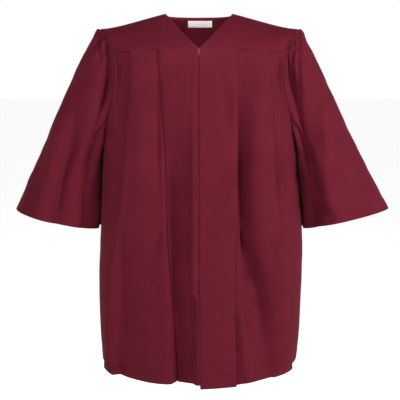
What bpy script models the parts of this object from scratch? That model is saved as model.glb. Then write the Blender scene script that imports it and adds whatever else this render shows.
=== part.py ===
"""A child's graduation gown with a zip down the front, filled out as if worn, with no wearer.

Metres, +Z up. The front faces -Y and +X is the right-hand side seen from the front, which is the
side that names use. The origin is the middle of the neck opening, level with the two points where
the neckline meets the shoulder seams. Every cloth piece is a wall worked out from named sizes: the
body from level rows round a superellipse, the yokes and sleeves from cubic curves between seams.
"""
import bmesh
import bpy
import numpy as np

# Cloth wall and the gap that parts two pieces at a seam
CLOTH = 0.0011
SEAM_GAP = 0.0003

# Heights of the main seams and of the hem, at the middle of a panel and at its side
FRONT_SEAM_CENTRE_Z = -0.0652
FRONT_SEAM_SIDE_Z = -0.0755
BACK_SEAM_Z = -0.0950
UNDERARM_Z = -0.2350
HEM_CENTRE_Z = -0.7285
HEM_SIDE_Z = -0.7000
BACK_HEM_CENTRE_Z = -0.7080
HEM_BEND = {-1: 2.4, 1: 1.6}
LEFT_HEM_RISE = 0.0070

# Round the body: a superellipse, flatter in front and behind than a circle
SQUARENESS = 2.4
SECTION_SAMPLES = 481
SECTION_CROWDING = 1.4
SECTION_LEAD = 0.05
NORMAL_PROBE = 0.0004
BODY_COLUMNS = ("height", "left", "right", "front", "back", "armhole")
BODY_ROWS = (
    (-0.0755, 0.1900, 0.1900, 0.0840, 0.0855, 59.6),
    (-0.1340, 0.1900, 0.1900, 0.0900, 0.0925, 58.3),
    (-0.1970, 0.1900, 0.1900, 0.0965, 0.0965, 68.6),
    (-0.2220, 0.1900, 0.1900, 0.0990, 0.0980, 77.2),
    (-0.2350, 0.1905, 0.1910, 0.1000, 0.0985, 90.0),
    (-0.3000, 0.1930, 0.1970, 0.1045, 0.1010, 90.0),
    (-0.3800, 0.1970, 0.2050, 0.1095, 0.1040, 90.0),
    (-0.4450, 0.2000, 0.2095, 0.1135, 0.1070, 90.0),
    (-0.5200, 0.2035, 0.2095, 0.1175, 0.1105, 90.0),
    (-0.5800, 0.2037, 0.2077, 0.1210, 0.1135, 90.0),
    (-0.6500, 0.2018, 0.2053, 0.1250, 0.1175, 90.0),
    (-0.7000, 0.1985, 0.2005, 0.1280, 0.1200, 90.0),
)

# Knife pleats with their folds outwards: distance of each fold from the middle, the space between
# its layers and how far it folds back, at a few heights
PLEAT_COLUMNS = ("height", "left_inner", "left_outer", "right_inner", "right_outer", "space", "back")
PLEAT_ROWS = (
    (-0.0700, 0.0770, 0.1330, 0.0755, 0.1340, 0.0015, 0.012),
    (-0.2700, 0.0670, 0.1500, 0.0740, 0.1480, 0.0026, 0.013),
    (-0.4500, 0.0610, 0.1670, 0.0720, 0.1620, 0.0038, 0.014),
    (-0.5750, 0.0520, 0.1870, 0.0710, 0.1800, 0.0046, 0.015),
    (-0.7250, 0.0440, 0.1935, 0.0740, 0.1900, 0.0054, 0.016),
)
BACK_PLEAT_ROWS = (
    (-0.0700, 0.0500, 0.1120, 0.0500, 0.1120, 0.0015, 0.012),
    (-0.2700, 0.0530, 0.1200, 0.0520, 0.1210, 0.0026, 0.013),
    (-0.4500, 0.0570, 0.1330, 0.0550, 0.1350, 0.0036, 0.014),
    (-0.5750, 0.0620, 0.1450, 0.0590, 0.1460, 0.0044, 0.015),
    (-0.7250, 0.0680, 0.1560, 0.0640, 0.1570, 0.0050, 0.016),
)
FOLD_TURN = 0.45

# Long soft troughs: one leaves the right inner pleat and runs out towards the side seam, one lies
# in the left strip beside the lower zip
TROUGH_COLUMNS = ("height", "across", "depth")
TROUGH_ROWS = {
    1: (
        (-0.1200, 0.0880, 0.0000),
        (-0.2500, 0.0900, 0.0040),
        (-0.3800, 0.0950, 0.0060),
        (-0.4900, 0.1020, 0.0085),
        (-0.5750, 0.1130, 0.0090),
        (-0.6600, 0.1310, 0.0065),
        (-0.7250, 0.1420, 0.0030),
    ),
    -1: (
        (-0.3300, 0.0420, 0.0000),
        (-0.4200, 0.0380, 0.0040),
        (-0.5200, 0.0320, 0.0075),
        (-0.6200, 0.0280, 0.0085),
        (-0.7250, 0.0260, 0.0085),
    ),
}
TROUGH_HALF_WIDTH = 0.015
TROUGH_START = 0.019
TROUGH_FADE = 0.010

# Zip opening: half of the gap between the fronts, and how they lap below the zip
ZIP_TOP_HALF_GAP = 0.0013
ZIP_HALF_GAP = 0.0005
ZIP_GAP_CLOSED_Z = -0.0900
ZIP_END_Z = -0.5165
LAP_SUNK_Z = -0.5350
LAP_FULL_Z = -0.5600
LAP_WIDTH = 0.0080
LAP_DEPTH = 0.0018
LAP_BLEND = 0.0200
RIGHT_EDGE_SHIFT = 0.0025

# Rows of the fronts and the back, by their height at the side seam
ARMHOLE_HEIGHTS = (-0.1000, -0.1340, -0.1650, -0.1950, -0.2150, -0.2280, UNDERARM_Z)
BACK_ARMHOLE_HEIGHTS = (-0.1180, -0.1450, -0.1700, -0.1950, -0.2150, -0.2280, UNDERARM_Z)
SKIRT_HEIGHTS = (-0.2800, -0.3400, -0.4000, -0.4500)
LOW_HEIGHTS = (-0.5900, -0.6450)
BACK_SKIRT_HEIGHTS = (-0.3000, -0.3800, -0.4600, -0.5400, -0.6200)
FRONT_RUNS = (4, 6, 4)
BACK_RUNS = (3, 4, 5)

# Shoulders: the ridge that the shoulder seam follows, and the neck
NECK_HALF_WIDTH = 0.0670
BACK_NECK_DEPTH = 0.0550
BACK_NECK_DROP = 0.0060
NECK_DROP_BEND = 0.5
NECK_SQUARENESS = 2.3
RIDGE_COLUMNS = ("across", "height")
RIDGE_ROWS = (
    (0.0670, 0.0000),
    (0.0995, -0.0088),
    (0.1300, -0.0171),
    (0.1600, -0.0248),
    (0.1800, -0.0285),
    (0.1960, -0.0300),
)
YOKE_COLUMNS = 9
YOKE_ROWS = 6
BACK_YOKE_STEPS = (0.0, 0.058, 0.17, 0.33, 0.50, 0.66, 0.83, 1.0)
BACK_YOKE_NECK_COLUMNS = 5
BACK_YOKE_SHOULDER_COLUMNS = 5

# How the yokes leave the ridge and reach the seam below: handle vectors at the neck and armhole
FRONT_YOKE_HANDLES = {
    "ridge_neck": (-0.0050, -0.0340, -0.0020),
    "ridge_armhole": (-0.0060, -0.0260, -0.0010),
    "seam_neck": (0.0230, 0.0100, 0.0190),
    "seam_armhole": (0.0050, 0.0060, 0.0230),
}
BACK_YOKE_HANDLES = {
    "ridge_neck": (0.0000, 0.0340, 0.0020),
    "ridge_armhole": (-0.0060, 0.0260, -0.0010),
    "neckline": (0.0000, 0.0120, -0.0260),
    "seam_neck": (0.0000, -0.0040, 0.0320),
    "seam_armhole": (0.0050, -0.0060, 0.0280),
}

# Sleeves: an open ring at the cuff, tilted so that it faces down and out
CUFF_TILT = np.radians(13.8)
CUFF_Z = -0.4085
CUFF_COLUMNS = ("side", "centre", "half_width", "half_depth", "front_lift", "outer_flare", "wrap")
CUFF_ROWS = (
    (-1, 0.2862, 0.0862, 0.0780, 0.0000, 0.42, 0.026),
    (1, 0.2983, 0.0885, 0.0660, 0.0045, 0.54, 0.022),
)
CUFF_INNER_SQUARENESS = 3.0
CUFF_FRONT_WRAP = 0.15
CUFF_BACK_WRAP = 0.5
SLEEVE_STEPS = (0.0, 0.045, 0.10, 0.17, 0.26, 0.36, 0.48, 0.61, 0.74, 0.87, 1.0)
SLEEVE_LEAVES = {"top": (0.70, 0.0, -0.71), "under": (0.03, 0.0, -1.0), "face": (0.35, -0.28, -0.40)}
SLEEVE_ARRIVES = {"top": (0.0, 0.0, -0.9), "under": (0.05, 0.0, -1.0), "face": (0.0, -0.12, 0.0)}
SLEEVE_START_HANDLE = 0.14
SLEEVE_END_HANDLE = 0.46
SLEEVE_CLEARANCE = 0.0019
ARMHOLE_OFF_EDGE = 0.00090
ARMHOLE_OFF_FACE = 0.00150
CAP_LOW_Z = -0.1700
GATHER_LENGTH = 0.0250
GATHER_DEPTH = 0.0026
GATHER_START = 0.07
GATHER_REACH = 0.34
GATHER_ARC = 0.1250
GATHER_FADE = 0.030
GATHER_UNEVENNESS = 0.25

# Long folds of the sleeves: the side they are on, place round the sleeve from the shoulder by way
# of the front, half width there, height, and where along the sleeve each begins
SLEEVE_FOLD_RISE = 0.4
SLEEVE_FOLD_ROWS = (
    (-1, 0.310, 0.050, -0.0160, 0.35),
    (-1, 0.225, 0.045, 0.0040, 0.35),
    (-1, 0.690, 0.050, -0.0070, 0.35),
    (1, 0.380, 0.046, -0.0130, 0.30),
    (1, 0.290, 0.040, 0.0065, 0.25),
    (1, 0.665, 0.050, -0.0070, 0.35),
)

# Small cloth that lies on the inside
TAPE_THICKNESS = 0.0008
LABEL_WIDTH = 0.0490
LABEL_HEIGHT = 0.0140
LABEL_TOP = 0.0068
LABEL_CENTRE_X = 0.0020
LABEL_THICKNESS = 0.0010
ZIP_TAPE_INNER = 0.0027
ZIP_TAPE_OUTER = 0.0130
CHAIN_HALF_WIDTH = 0.0022
CHAIN_THICKNESS = 0.0013

# Zip slider and pull tab, in the slider's own frame: +X across, -Y out of the cloth, +Z up
SLIDER_Z = -0.0702
SLIDER_HALF_WIDTH = 0.0026
SLIDER_HALF_HEIGHT = 0.0036
OVAL_POINTS = 20
OVAL_SQUARENESS = 3.0
PLATE_FACE = 0.0009
PLATE_THICKNESS = 0.0008
BACK_PLATE_FACE = -0.0031
POST_HALF_WIDTH = 0.0008
POST_TOP = 0.0033
POST_BOTTOM = 0.0015
CROWN_HALF_WIDTH = 0.0007
CROWN_LEG_IN = 0.0011
CROWN_LEG_OUT = 0.0019
HINGE_UP = 0.0006
HINGE_OUT = 0.0026
CROWN_TOP = 0.00165
TAB_THICKNESS = 0.0010
TAB_LENGTH = 0.0100
TAB_HALF_WIDTH = 0.0023
TAB_CORNER = 0.0008
WINDOW_HALF_WIDTH = 0.0011
WINDOW_END = 0.0037
STOP_SIZE = (0.0044, 0.0016, 0.0030)
JOIN = 0.0002
TAPE_TOP_DROP = 0.0012
LEAN_Z = -0.0950

# Limits of the walls: how far a corner may be mitred and where shading turns sharp
MITRE_LIMIT = 0.62
SHARP_ANGLE = np.radians(50)
SEAM_REACH = 0.0005
RING_PROBE = 0.01
RING_YOKE_PROBE = 0.9
RING_CENTRE_INWARD = 0.12

# Colours (linear) and finishes
POLYESTER = (0.130, 0.0135, 0.0250, 1.0)
TAPE_COLOUR = (0.105, 0.0110, 0.0200, 1.0)
LABEL_COLOUR = (0.78, 0.77, 0.75, 1.0)
LACQUER = (0.112, 0.018, 0.030, 1.0)


def clear_scene():
    for item in list(bpy.data.objects):
        bpy.data.objects.remove(item, do_unlink=True)


def material(name, colour, roughness):
    finish = bpy.data.materials.new(name)
    finish.use_nodes = True
    shader = finish.node_tree.nodes["Principled BSDF"]
    shader.inputs["Base Color"].default_value = colour
    shader.inputs["Roughness"].default_value = roughness
    shader.inputs["Metallic"].default_value = 0.0
    return finish


def ease(share):
    """Smooth step from 0 to 1, flat at both ends."""
    share = np.clip(share, 0.0, 1.0)
    return share * share * (3.0 - 2.0 * share)


def smooth_curve(keys, values, places):
    """Cubic curve through a table, its slope at each row taken from the rows on either side."""
    keys = np.asarray(keys, float)
    values = np.asarray(values, float)
    if keys[0] > keys[-1]:
        keys = keys[::-1]
        values = values[::-1]
    slopes = np.gradient(values, keys)
    places = np.clip(places, keys[0], keys[-1])
    index = np.clip(np.searchsorted(keys, places) - 1, 0, len(keys) - 2)
    step = keys[index + 1] - keys[index]
    t = (places - keys[index]) / step
    start = (1 + 2 * t) * (1 - t) ** 2 * values[index]
    end = t * t * (3 - 2 * t) * values[index + 1]
    return start + end + step * (t * (1 - t) ** 2 * slopes[index] + t * t * (t - 1) * slopes[index + 1])


def from_table(rows, columns, column, places):
    """One named column of a table, read smoothly at places along its first column."""
    keys = [row[0] for row in rows]
    values = [row[columns.index(column)] for row in rows]
    return smooth_curve(keys, values, places)


def side_name(side):
    return "left" if side < 0 else "right"


def side_height(fraction, face):
    """Height at the side seam of a row, from the yoke seam (0) to the hem (1)."""
    top = FRONT_SEAM_SIDE_Z if face == "front" else BACK_SEAM_Z
    return top + (HEM_SIDE_Z - top) * fraction


def fraction_at_side(height, face):
    top = FRONT_SEAM_SIDE_Z if face == "front" else BACK_SEAM_Z
    return (height - top) / (HEM_SIDE_Z - top)


def fraction_at_centre(height):
    return (height - FRONT_SEAM_CENTRE_Z) / (HEM_CENTRE_Z - FRONT_SEAM_CENTRE_Z)


def row_heights(side, face, fraction, share):
    """Heights along a row: the yoke seam and the hem both bend with the share of the way round."""
    if face == "front":
        top = FRONT_SEAM_CENTRE_Z + (FRONT_SEAM_SIDE_Z - FRONT_SEAM_CENTRE_Z) * share ** 2
        hem = HEM_CENTRE_Z + (HEM_SIDE_Z - HEM_CENTRE_Z) * share ** HEM_BEND[side]
    else:
        top = BACK_SEAM_Z
        hem = BACK_HEM_CENTRE_Z + (HEM_SIDE_Z - BACK_HEM_CENTRE_Z) * share ** HEM_BEND[side]
    heights = top + (hem - top) * fraction
    if face == "front" and side < 0:
        below_zip = ease((fraction - fraction_at_centre(LAP_FULL_Z)) / (1 - fraction_at_centre(LAP_FULL_Z)))
        heights = heights + LEFT_HEM_RISE * below_zip * (1 - share) ** HEM_BEND[side]
    return heights


class Section:
    """A level half row round the body, from its centre line to the side seam or armhole.

    The curve is x = W sin(a)^(2/n), y = -D cos(a)^(2/n), read by its arc length. Before its
    centre line it runs on straight, so that one front can lap under the other.
    """

    def __init__(self, side, face, fraction):
        height = side_height(fraction, face)
        width = from_table(BODY_ROWS, BODY_COLUMNS, side_name(side), height)
        depth = from_table(BODY_ROWS, BODY_COLUMNS, face, height)
        end = min(float(from_table(BODY_ROWS, BODY_COLUMNS, "armhole", height)), 90.0)
        if height <= UNDERARM_Z + 1e-9:
            end = 90.0
        angle = np.radians(end) * np.linspace(0.0, 1.0, SECTION_SAMPLES) ** SECTION_CROWDING
        across = width * np.sin(angle) ** (2 / SQUARENESS)
        outward = -depth * np.clip(np.cos(angle), 0.0, 1.0) ** (2 / SQUARENESS)
        arc = np.concatenate(([0.0], np.cumsum(np.hypot(np.diff(across), np.diff(outward)))))
        self.arc = np.concatenate(([-SECTION_LEAD], arc))
        self.x = np.concatenate(([-SECTION_LEAD], across))
        self.y = np.concatenate(([-depth], outward))
        self.length = float(arc[-1])
        self.side = side
        self.face = face
        self.fraction = fraction

    def arc_at(self, across):
        return float(np.interp(across, self.x, self.arc))

    def plan(self, arc):
        """Plan position and outward unit normal at an arc length, for the front at +X."""
        x = np.interp(arc, self.arc, self.x)
        y = np.interp(arc, self.arc, self.y)
        ahead = np.minimum(arc + NORMAL_PROBE, self.length)
        behind = ahead - 2 * NORMAL_PROBE
        tx = np.interp(ahead, self.arc, self.x) - np.interp(behind, self.arc, self.x)
        ty = np.interp(ahead, self.arc, self.y) - np.interp(behind, self.arc, self.y)
        size = np.hypot(tx, ty)
        return x, y, ty / size, -tx / size

    def points(self, arc, depth):
        """World points at arc lengths, moved out of the curve by depth."""
        x, y, nx, ny = self.plan(arc)
        share = np.clip(arc / self.length, 0.0, 1.0)
        z = row_heights(self.side, self.face, self.fraction, share)
        x = (x + nx * depth) * self.side
        y = y + ny * depth
        if self.face == "back":
            y = -y
        return np.stack((x, y, z), axis=-1)


def front_edge(side, height):
    """Arc length where a front begins beside the zip, and how deep it is sunk below the zip."""
    open_top = float(ease((height - ZIP_GAP_CLOSED_Z) / (FRONT_SEAM_CENTRE_Z - ZIP_GAP_CLOSED_Z)))
    gap = ZIP_HALF_GAP + (ZIP_TOP_HALF_GAP - ZIP_HALF_GAP) * open_top
    lap = float(ease((LAP_SUNK_Z - height) / (LAP_SUNK_Z - LAP_FULL_Z)))
    sunk = float(ease((ZIP_END_Z - height) / (ZIP_END_Z - LAP_SUNK_Z)))
    if side < 0:
        return gap - (LAP_WIDTH + gap) * lap, LAP_DEPTH * sunk
    return gap + (RIGHT_EDGE_SHIFT - gap) * lap, 0.0


def folded_row(begin, length, folds, space, back, runs):
    """Arc and depth of each column of a row.

    Plain runs lead to each fold; there the cloth turns under, runs back, turns again and goes on
    two layers deeper, and the next run brings it up to the surface again.
    """
    arcs = []
    depths = []
    level = 0.0
    turn = FOLD_TURN * space
    for number, (fold, run) in enumerate(zip(folds, runs)):
        under = fold - back
        share = np.linspace(0.0, 1.0, run + 1)[min(number, 1):]
        arcs.extend(begin + (under - begin) * share)
        depths.extend(-level * (1 - ease(share)))
        arcs.extend((fold - turn, fold, fold - turn, under + turn, under, under + turn, fold))
        depths.extend((0.0, -0.5 * space, -space, -space, -1.5 * space, -2 * space, -2 * space))
        begin = fold
        level = 2 * space
    share = np.linspace(0.0, 1.0, runs[-1] + 1)[1:]
    arcs.extend(begin + (length - begin) * share)
    depths.extend(-level * (1 - ease(share)))
    return np.array(arcs), np.array(depths)


def front_row(side, fraction):
    """Mid-surface points of one row of a front."""
    section = Section(side, "front", fraction)
    centre_height = FRONT_SEAM_CENTRE_Z + (HEM_CENTRE_Z - FRONT_SEAM_CENTRE_Z) * fraction
    begin, sunk = front_edge(side, centre_height)
    name = side_name(side)
    folds = [section.arc_at(from_table(PLEAT_ROWS, PLEAT_COLUMNS, f"{name}_{place}", centre_height))
             for place in ("inner", "outer")]
    space = float(from_table(PLEAT_ROWS, PLEAT_COLUMNS, "space", centre_height))
    back = float(from_table(PLEAT_ROWS, PLEAT_COLUMNS, "back", centre_height))
    arcs, depths = folded_row(begin, section.length, folds, space, back, FRONT_RUNS)
    depths = depths - sunk * (1 - ease(np.maximum(arcs, 0.0) / LAP_BLEND))
    centre = section.arc_at(from_table(TROUGH_ROWS[side], TROUGH_COLUMNS, "across", centre_height))
    deep = float(from_table(TROUGH_ROWS[side], TROUGH_COLUMNS, "depth", centre_height))
    off_zip = ease((arcs - TROUGH_START) / TROUGH_FADE)
    depths = depths - deep * off_zip * np.exp(-((arcs - centre) / TROUGH_HALF_WIDTH) ** 2)
    return section.points(arcs, depths)


def back_row(fraction):
    """Mid-surface points of one row of the back, from the left side seam to the right one."""
    halves = []
    for side in (-1, 1):
        section = Section(side, "back", fraction)
        height = BACK_SEAM_Z + (BACK_HEM_CENTRE_Z - BACK_SEAM_Z) * fraction
        name = side_name(side)
        folds = [section.arc_at(from_table(BACK_PLEAT_ROWS, PLEAT_COLUMNS, f"{name}_{place}", height))
                 for place in ("inner", "outer")]
        space = float(from_table(BACK_PLEAT_ROWS, PLEAT_COLUMNS, "space", height))
        back = float(from_table(BACK_PLEAT_ROWS, PLEAT_COLUMNS, "back", height))
        arcs, depths = folded_row(0.0, section.length, folds, space, back, BACK_RUNS)
        halves.append(section.points(arcs, depths))
    return np.concatenate((halves[0][::-1], halves[1][1:]))


def level_normals(row, turn):
    """Outward mitred normals of a level row, in plan; turn is +1 or -1 for the way the row runs."""
    step = np.diff(row[:, :2], axis=0)
    step /= np.linalg.norm(step, axis=1)[:, None]
    flat = np.stack((step[:, 1], -step[:, 0]), axis=1) * turn
    before = np.concatenate((flat[:1], flat))
    after = np.concatenate((flat, flat[-1:]))
    mitre = before + after
    mitre /= np.maximum(np.linalg.norm(mitre, axis=1)[:, None], 1e-9)
    reach = 1.0 / np.maximum(np.sum(mitre * after, axis=1), MITRE_LIMIT)
    return np.concatenate((mitre * reach[:, None], np.zeros((len(row), 1))), axis=1)


def grid_normals(grid, closed=False):
    """Unit normals of a grid surface, from the directions of its columns and rows."""
    down = np.gradient(grid, axis=0)
    if closed:
        across = (np.roll(grid, -1, axis=1) - np.roll(grid, 1, axis=1)) / 2
    else:
        across = np.gradient(grid, axis=1)
    normal = np.cross(across, down)
    return normal / np.maximum(np.linalg.norm(normal, axis=2)[:, :, None], 1e-12)


def wall(name, mid, normals, thickness, finish, closed=False, smooth=True):
    """A closed cloth wall: a grid moved out and in by half the thickness and joined round its edges.

    Both faces are split along the shorter diagonals of the mid-surface, so that they stay parallel.
    """
    rows, columns = mid.shape[:2]
    outer = (mid + normals * thickness / 2).reshape(-1, 3)
    inner = (mid - normals * thickness / 2).reshape(-1, 3)
    offset = rows * columns
    index = np.arange(offset).reshape(rows, columns)
    right = np.roll(index, -1, axis=1)
    if not closed:
        right = right[:, :-1]
        index = index[:, :-1]
    quads = np.stack((index[:-1], index[1:], right[1:], right[:-1]), axis=-1).reshape(-1, 4)
    flat = mid.reshape(-1, 3)
    one = np.linalg.norm(flat[quads[:, 0]] - flat[quads[:, 2]], axis=1)
    other = np.linalg.norm(flat[quads[:, 1]] - flat[quads[:, 3]], axis=1)
    quads = np.where((one <= other)[:, None], quads, np.roll(quads, -1, axis=1))
    triangles = np.concatenate((quads[:, (0, 1, 2)], quads[:, (0, 2, 3)]))
    faces = [tuple(face) for face in triangles.tolist()]
    faces += [tuple(offset + corner for corner in face[::-1]) for face in triangles.tolist()]
    for first, second in zip(index[0].tolist(), right[0].tolist()):
        faces.append((first, second, offset + second, offset + first))
    for first, second in zip(index[-1].tolist(), right[-1].tolist()):
        faces.append((second, first, offset + first, offset + second))
    if not closed:
        left_edge = (np.arange(rows) * columns).tolist()
        right_edge = (np.arange(rows) * columns + columns - 1).tolist()
        for first, second in zip(left_edge[:-1], left_edge[1:]):
            faces.append((second, first, offset + first, offset + second))
        for first, second in zip(right_edge[:-1], right_edge[1:]):
            faces.append((first, second, offset + second, offset + first))
    mesh = bpy.data.meshes.new(name)
    mesh.from_pydata(np.concatenate((outer, inner)).tolist(), [], faces)
    mesh.validate()
    shell = bmesh.new()
    shell.from_mesh(mesh)
    bmesh.ops.recalc_face_normals(shell, faces=shell.faces)
    shell.to_mesh(mesh)
    shell.free()
    if smooth:
        mesh.shade_smooth()
        mesh.set_sharp_from_angle(angle=SHARP_ANGLE)
    mesh.materials.append(finish)
    item = bpy.data.objects.new(name, mesh)
    bpy.context.scene.collection.objects.link(item)
    return item


def front_fractions():
    heights = [FRONT_SEAM_SIDE_Z, *ARMHOLE_HEIGHTS, *SKIRT_HEIGHTS]
    rows = [fraction_at_side(height, "front") for height in heights]
    rows += [fraction_at_centre(height) for height in (ZIP_END_Z, LAP_SUNK_Z, LAP_FULL_Z)]
    rows += [fraction_at_side(height, "front") for height in LOW_HEIGHTS]
    return rows + [1.0]


def back_fractions():
    heights = [BACK_SEAM_Z, *BACK_ARMHOLE_HEIGHTS, *BACK_SKIRT_HEIGHTS]
    return [fraction_at_side(height, "back") for height in heights] + [1.0]


def front_panel(side, finish):
    mid = np.array([front_row(side, fraction) for fraction in front_fractions()])
    mid[0, :, 2] -= SEAM_GAP / 2
    normals = np.array([level_normals(row, side) for row in mid])
    mid[:, -1, 1] = np.where(mid[:, -1, 2] < UNDERARM_Z + SEAM_REACH, -SEAM_GAP / 2, mid[:, -1, 1])
    return wall(f"front_{side_name(side)}", mid, normals, CLOTH, finish)


def back_panel(finish):
    mid = np.array([back_row(fraction) for fraction in back_fractions()])
    mid[0, :, 2] -= SEAM_GAP / 2
    normals = np.array([level_normals(row, -1) for row in mid])
    for column in (0, -1):
        below = mid[:, column, 2] < UNDERARM_Z + SEAM_REACH
        mid[:, column, 1] = np.where(below, SEAM_GAP / 2, mid[:, column, 1])
    return wall("back", mid, normals, CLOTH, finish)


def ridge(across):
    """Points of the shoulder ridge at distances from the middle."""
    height = from_table(RIDGE_ROWS, RIDGE_COLUMNS, "height", across)
    return np.stack((across, np.zeros_like(across), height), axis=-1)


def handles(table, first, second, share):
    """Handle vectors blended from one named end to the other."""
    start = np.array(table[first])
    end = np.array(table[second])
    return start + (end - start) * share[:, None]


def cubic(start, leave, arrive, end, steps):
    """Points of cubic curves, a column for each start, at the given steps."""
    t = np.asarray(steps)[:, None, None]
    return ((1 - t) ** 3 * start + 3 * (1 - t) ** 2 * t * leave
            + 3 * (1 - t) * t ** 2 * arrive + t ** 3 * end)


def front_yoke_surface(across, steps):
    """Mid-surface of the right front yoke: across runs from the V to the armhole, steps run down."""
    across = np.asarray(across, float)
    section = Section(1, "front", 0.0)
    arc = ZIP_TOP_HALF_GAP + (section.length - ZIP_TOP_HALF_GAP) * across
    seam = section.points(arc, 0.0 * across)
    top = ridge(NECK_HALF_WIDTH + (RIDGE_ROWS[-1][0] - NECK_HALF_WIDTH) * across)
    leave = top + handles(FRONT_YOKE_HANDLES, "ridge_neck", "ridge_armhole", across)
    arrive = seam + handles(FRONT_YOKE_HANDLES, "seam_neck", "seam_armhole", across)
    return cubic(top, leave, arrive, seam, steps)


def square_to_ridge(row):
    """Unit normals of a shoulder ridge: square to it, upwards, in the plane that it lies in."""
    along = np.gradient(row, axis=0)
    square = np.stack((-along[:, 2], 0.0 * along[:, 0], along[:, 0]), axis=-1)
    square *= np.sign(square[:, 2:])
    return square / np.linalg.norm(square, axis=1)[:, None]


def front_yoke(side, finish):
    across = np.linspace(0.0, 1.0, YOKE_COLUMNS + 1)
    grid = front_yoke_surface(across, np.linspace(0.0, 1.0, YOKE_ROWS + 1))
    normals = -grid_normals(grid)
    normals[0] = square_to_ridge(grid[0])
    normals[-1] = level_normals(grid[-1], 1)
    grid[0, :, 1] -= SEAM_GAP / 2
    grid[-1, :, 2] += SEAM_GAP / 2
    mirror = np.array((side, 1, 1))
    return wall(f"yoke_front_{side_name(side)}", grid * mirror, normals * mirror, CLOTH, finish)


def back_yoke_across():
    """Column places of the back yoke, as distances along its seam from -1 to 1, and the neck's."""
    corner = Section(1, "back", 0.0)
    neck = corner.arc_at(NECK_HALF_WIDTH) / corner.length
    inner = neck * np.sin(np.linspace(0.0, np.pi / 2, BACK_YOKE_NECK_COLUMNS + 1))
    outer = np.linspace(neck, 1.0, BACK_YOKE_SHOULDER_COLUMNS + 1)[1:]
    half = np.concatenate((inner, outer))
    return np.concatenate((-half[:0:-1], half)), neck


def back_yoke_surface(across, steps):
    """Mid-surface of the back yoke: from the neckline and the ridges down to the back seam."""
    across = np.asarray(across, float)
    section = Section(1, "back", 0.0)
    neck = section.arc_at(NECK_HALF_WIDTH) / section.length
    size = np.abs(across)
    side = np.where(across < 0, -1.0, 1.0)
    seam = section.points(size * section.length, 0.0 * size)
    past = np.clip((size - neck) / (1 - neck), 0.0, 1.0)
    shoulder = ridge(NECK_HALF_WIDTH + (RIDGE_ROWS[-1][0] - NECK_HALF_WIDTH) * past)
    round_neck = np.clip(size / neck, 0.0, 1.0)
    lift = (1 - round_neck ** NECK_SQUARENESS) ** (1 / NECK_SQUARENESS)
    drop = -BACK_NECK_DROP * lift ** NECK_DROP_BEND
    neckline = np.stack((seam[:, 0], BACK_NECK_DEPTH * lift, drop), axis=-1)
    on_neck = (size < neck)[:, None]
    top = np.where(on_neck, neckline, shoulder)
    leave_ridge = handles(BACK_YOKE_HANDLES, "ridge_neck", "ridge_armhole", past)
    leave_neck = handles(BACK_YOKE_HANDLES, "ridge_neck", "neckline", lift)
    leave = top + np.where(on_neck, leave_neck, leave_ridge)
    arrive = seam + handles(BACK_YOKE_HANDLES, "seam_neck", "seam_armhole", size)
    grid = cubic(top, leave, arrive, seam, steps)
    grid[:, :, 0] *= side
    return grid


def back_yoke_grid():
    """Column places, the neck's place among them, mid-surface points and outward normals."""
    across, neck = back_yoke_across()
    grid = back_yoke_surface(across, BACK_YOKE_STEPS)
    normals = grid_normals(grid)
    normals[-1] = level_normals(grid[-1], -1)
    for side in (-1, 1):
        picked = np.flatnonzero((np.abs(across) > neck + 1e-6) & (across * side > 0))
        normals[0, picked] = square_to_ridge(grid[0, picked])
    return across, neck, grid, normals


def back_yoke(finish):
    across, neck, grid, normals = back_yoke_grid()
    on_ridge = np.abs(across) >= neck - 1e-6
    grid[0, :, 1] += np.where(on_ridge, SEAM_GAP / 2, 0.0)
    grid[-1, :, 2] += SEAM_GAP / 2
    return wall("yoke_back", grid, normals, CLOTH, finish)


def armhole_ends(side, face, fractions):
    """The last two points of each row at the armhole, as on the right-hand side."""
    made = []
    for fraction in fractions:
        length = Section(1, face, fraction).length
        ends = np.array((length - RING_PROBE, length))
        made.append(Section(side, face, fraction).points(ends, 0.0 * ends) * (side, 1, 1))
    return np.array(made)


def armhole_ring(side):
    """The armhole seam: its points from the shoulder down the front, under the arm and up the back.

    Returns the points, the outward normals of the cloth there and the direction off its edge.
    """
    front_top = front_yoke_surface([RING_YOKE_PROBE, 1.0], np.linspace(0.0, 1.0, YOKE_ROWS + 1))
    back_top = back_yoke_surface([RING_YOKE_PROBE, 1.0], BACK_YOKE_STEPS)
    front_low = armhole_ends(side, "front", front_fractions()[1:len(ARMHOLE_HEIGHTS) + 1])
    back_low = armhole_ends(side, "back", back_fractions()[1:len(BACK_ARMHOLE_HEIGHTS) + 1])
    front = np.concatenate((front_top, front_low))
    back = np.concatenate((back_top, back_low))[1:-1][::-1]
    pairs = np.concatenate((front, back))
    ring = pairs[:, 1]
    inward = pairs[:, 0] - ring
    along = np.roll(ring, -1, axis=0) - np.roll(ring, 1, axis=0)
    normal = np.cross(inward, along)
    normal /= np.linalg.norm(normal, axis=1)[:, None]
    middle = ring.mean(axis=0) - np.array((RING_CENTRE_INWARD, 0.0, 0.0))
    normal *= np.sign(np.sum(normal * (ring - middle), axis=1))[:, None]
    off = np.cross(normal, along)
    off /= np.linalg.norm(off, axis=1)[:, None]
    off *= -np.sign(np.sum(off * inward, axis=1))[:, None]
    return ring, normal, off


def densify(values, cap):
    """Halves every segment of a ring where cap is true for both of its ends."""
    ahead = np.roll(values, -1, axis=0)
    split = cap & np.roll(cap, -1)
    made = []
    for value, following, halve in zip(values, ahead, split):
        made.append(value)
        if halve:
            made.append((value + following) / 2)
    return np.array(made)


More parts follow.
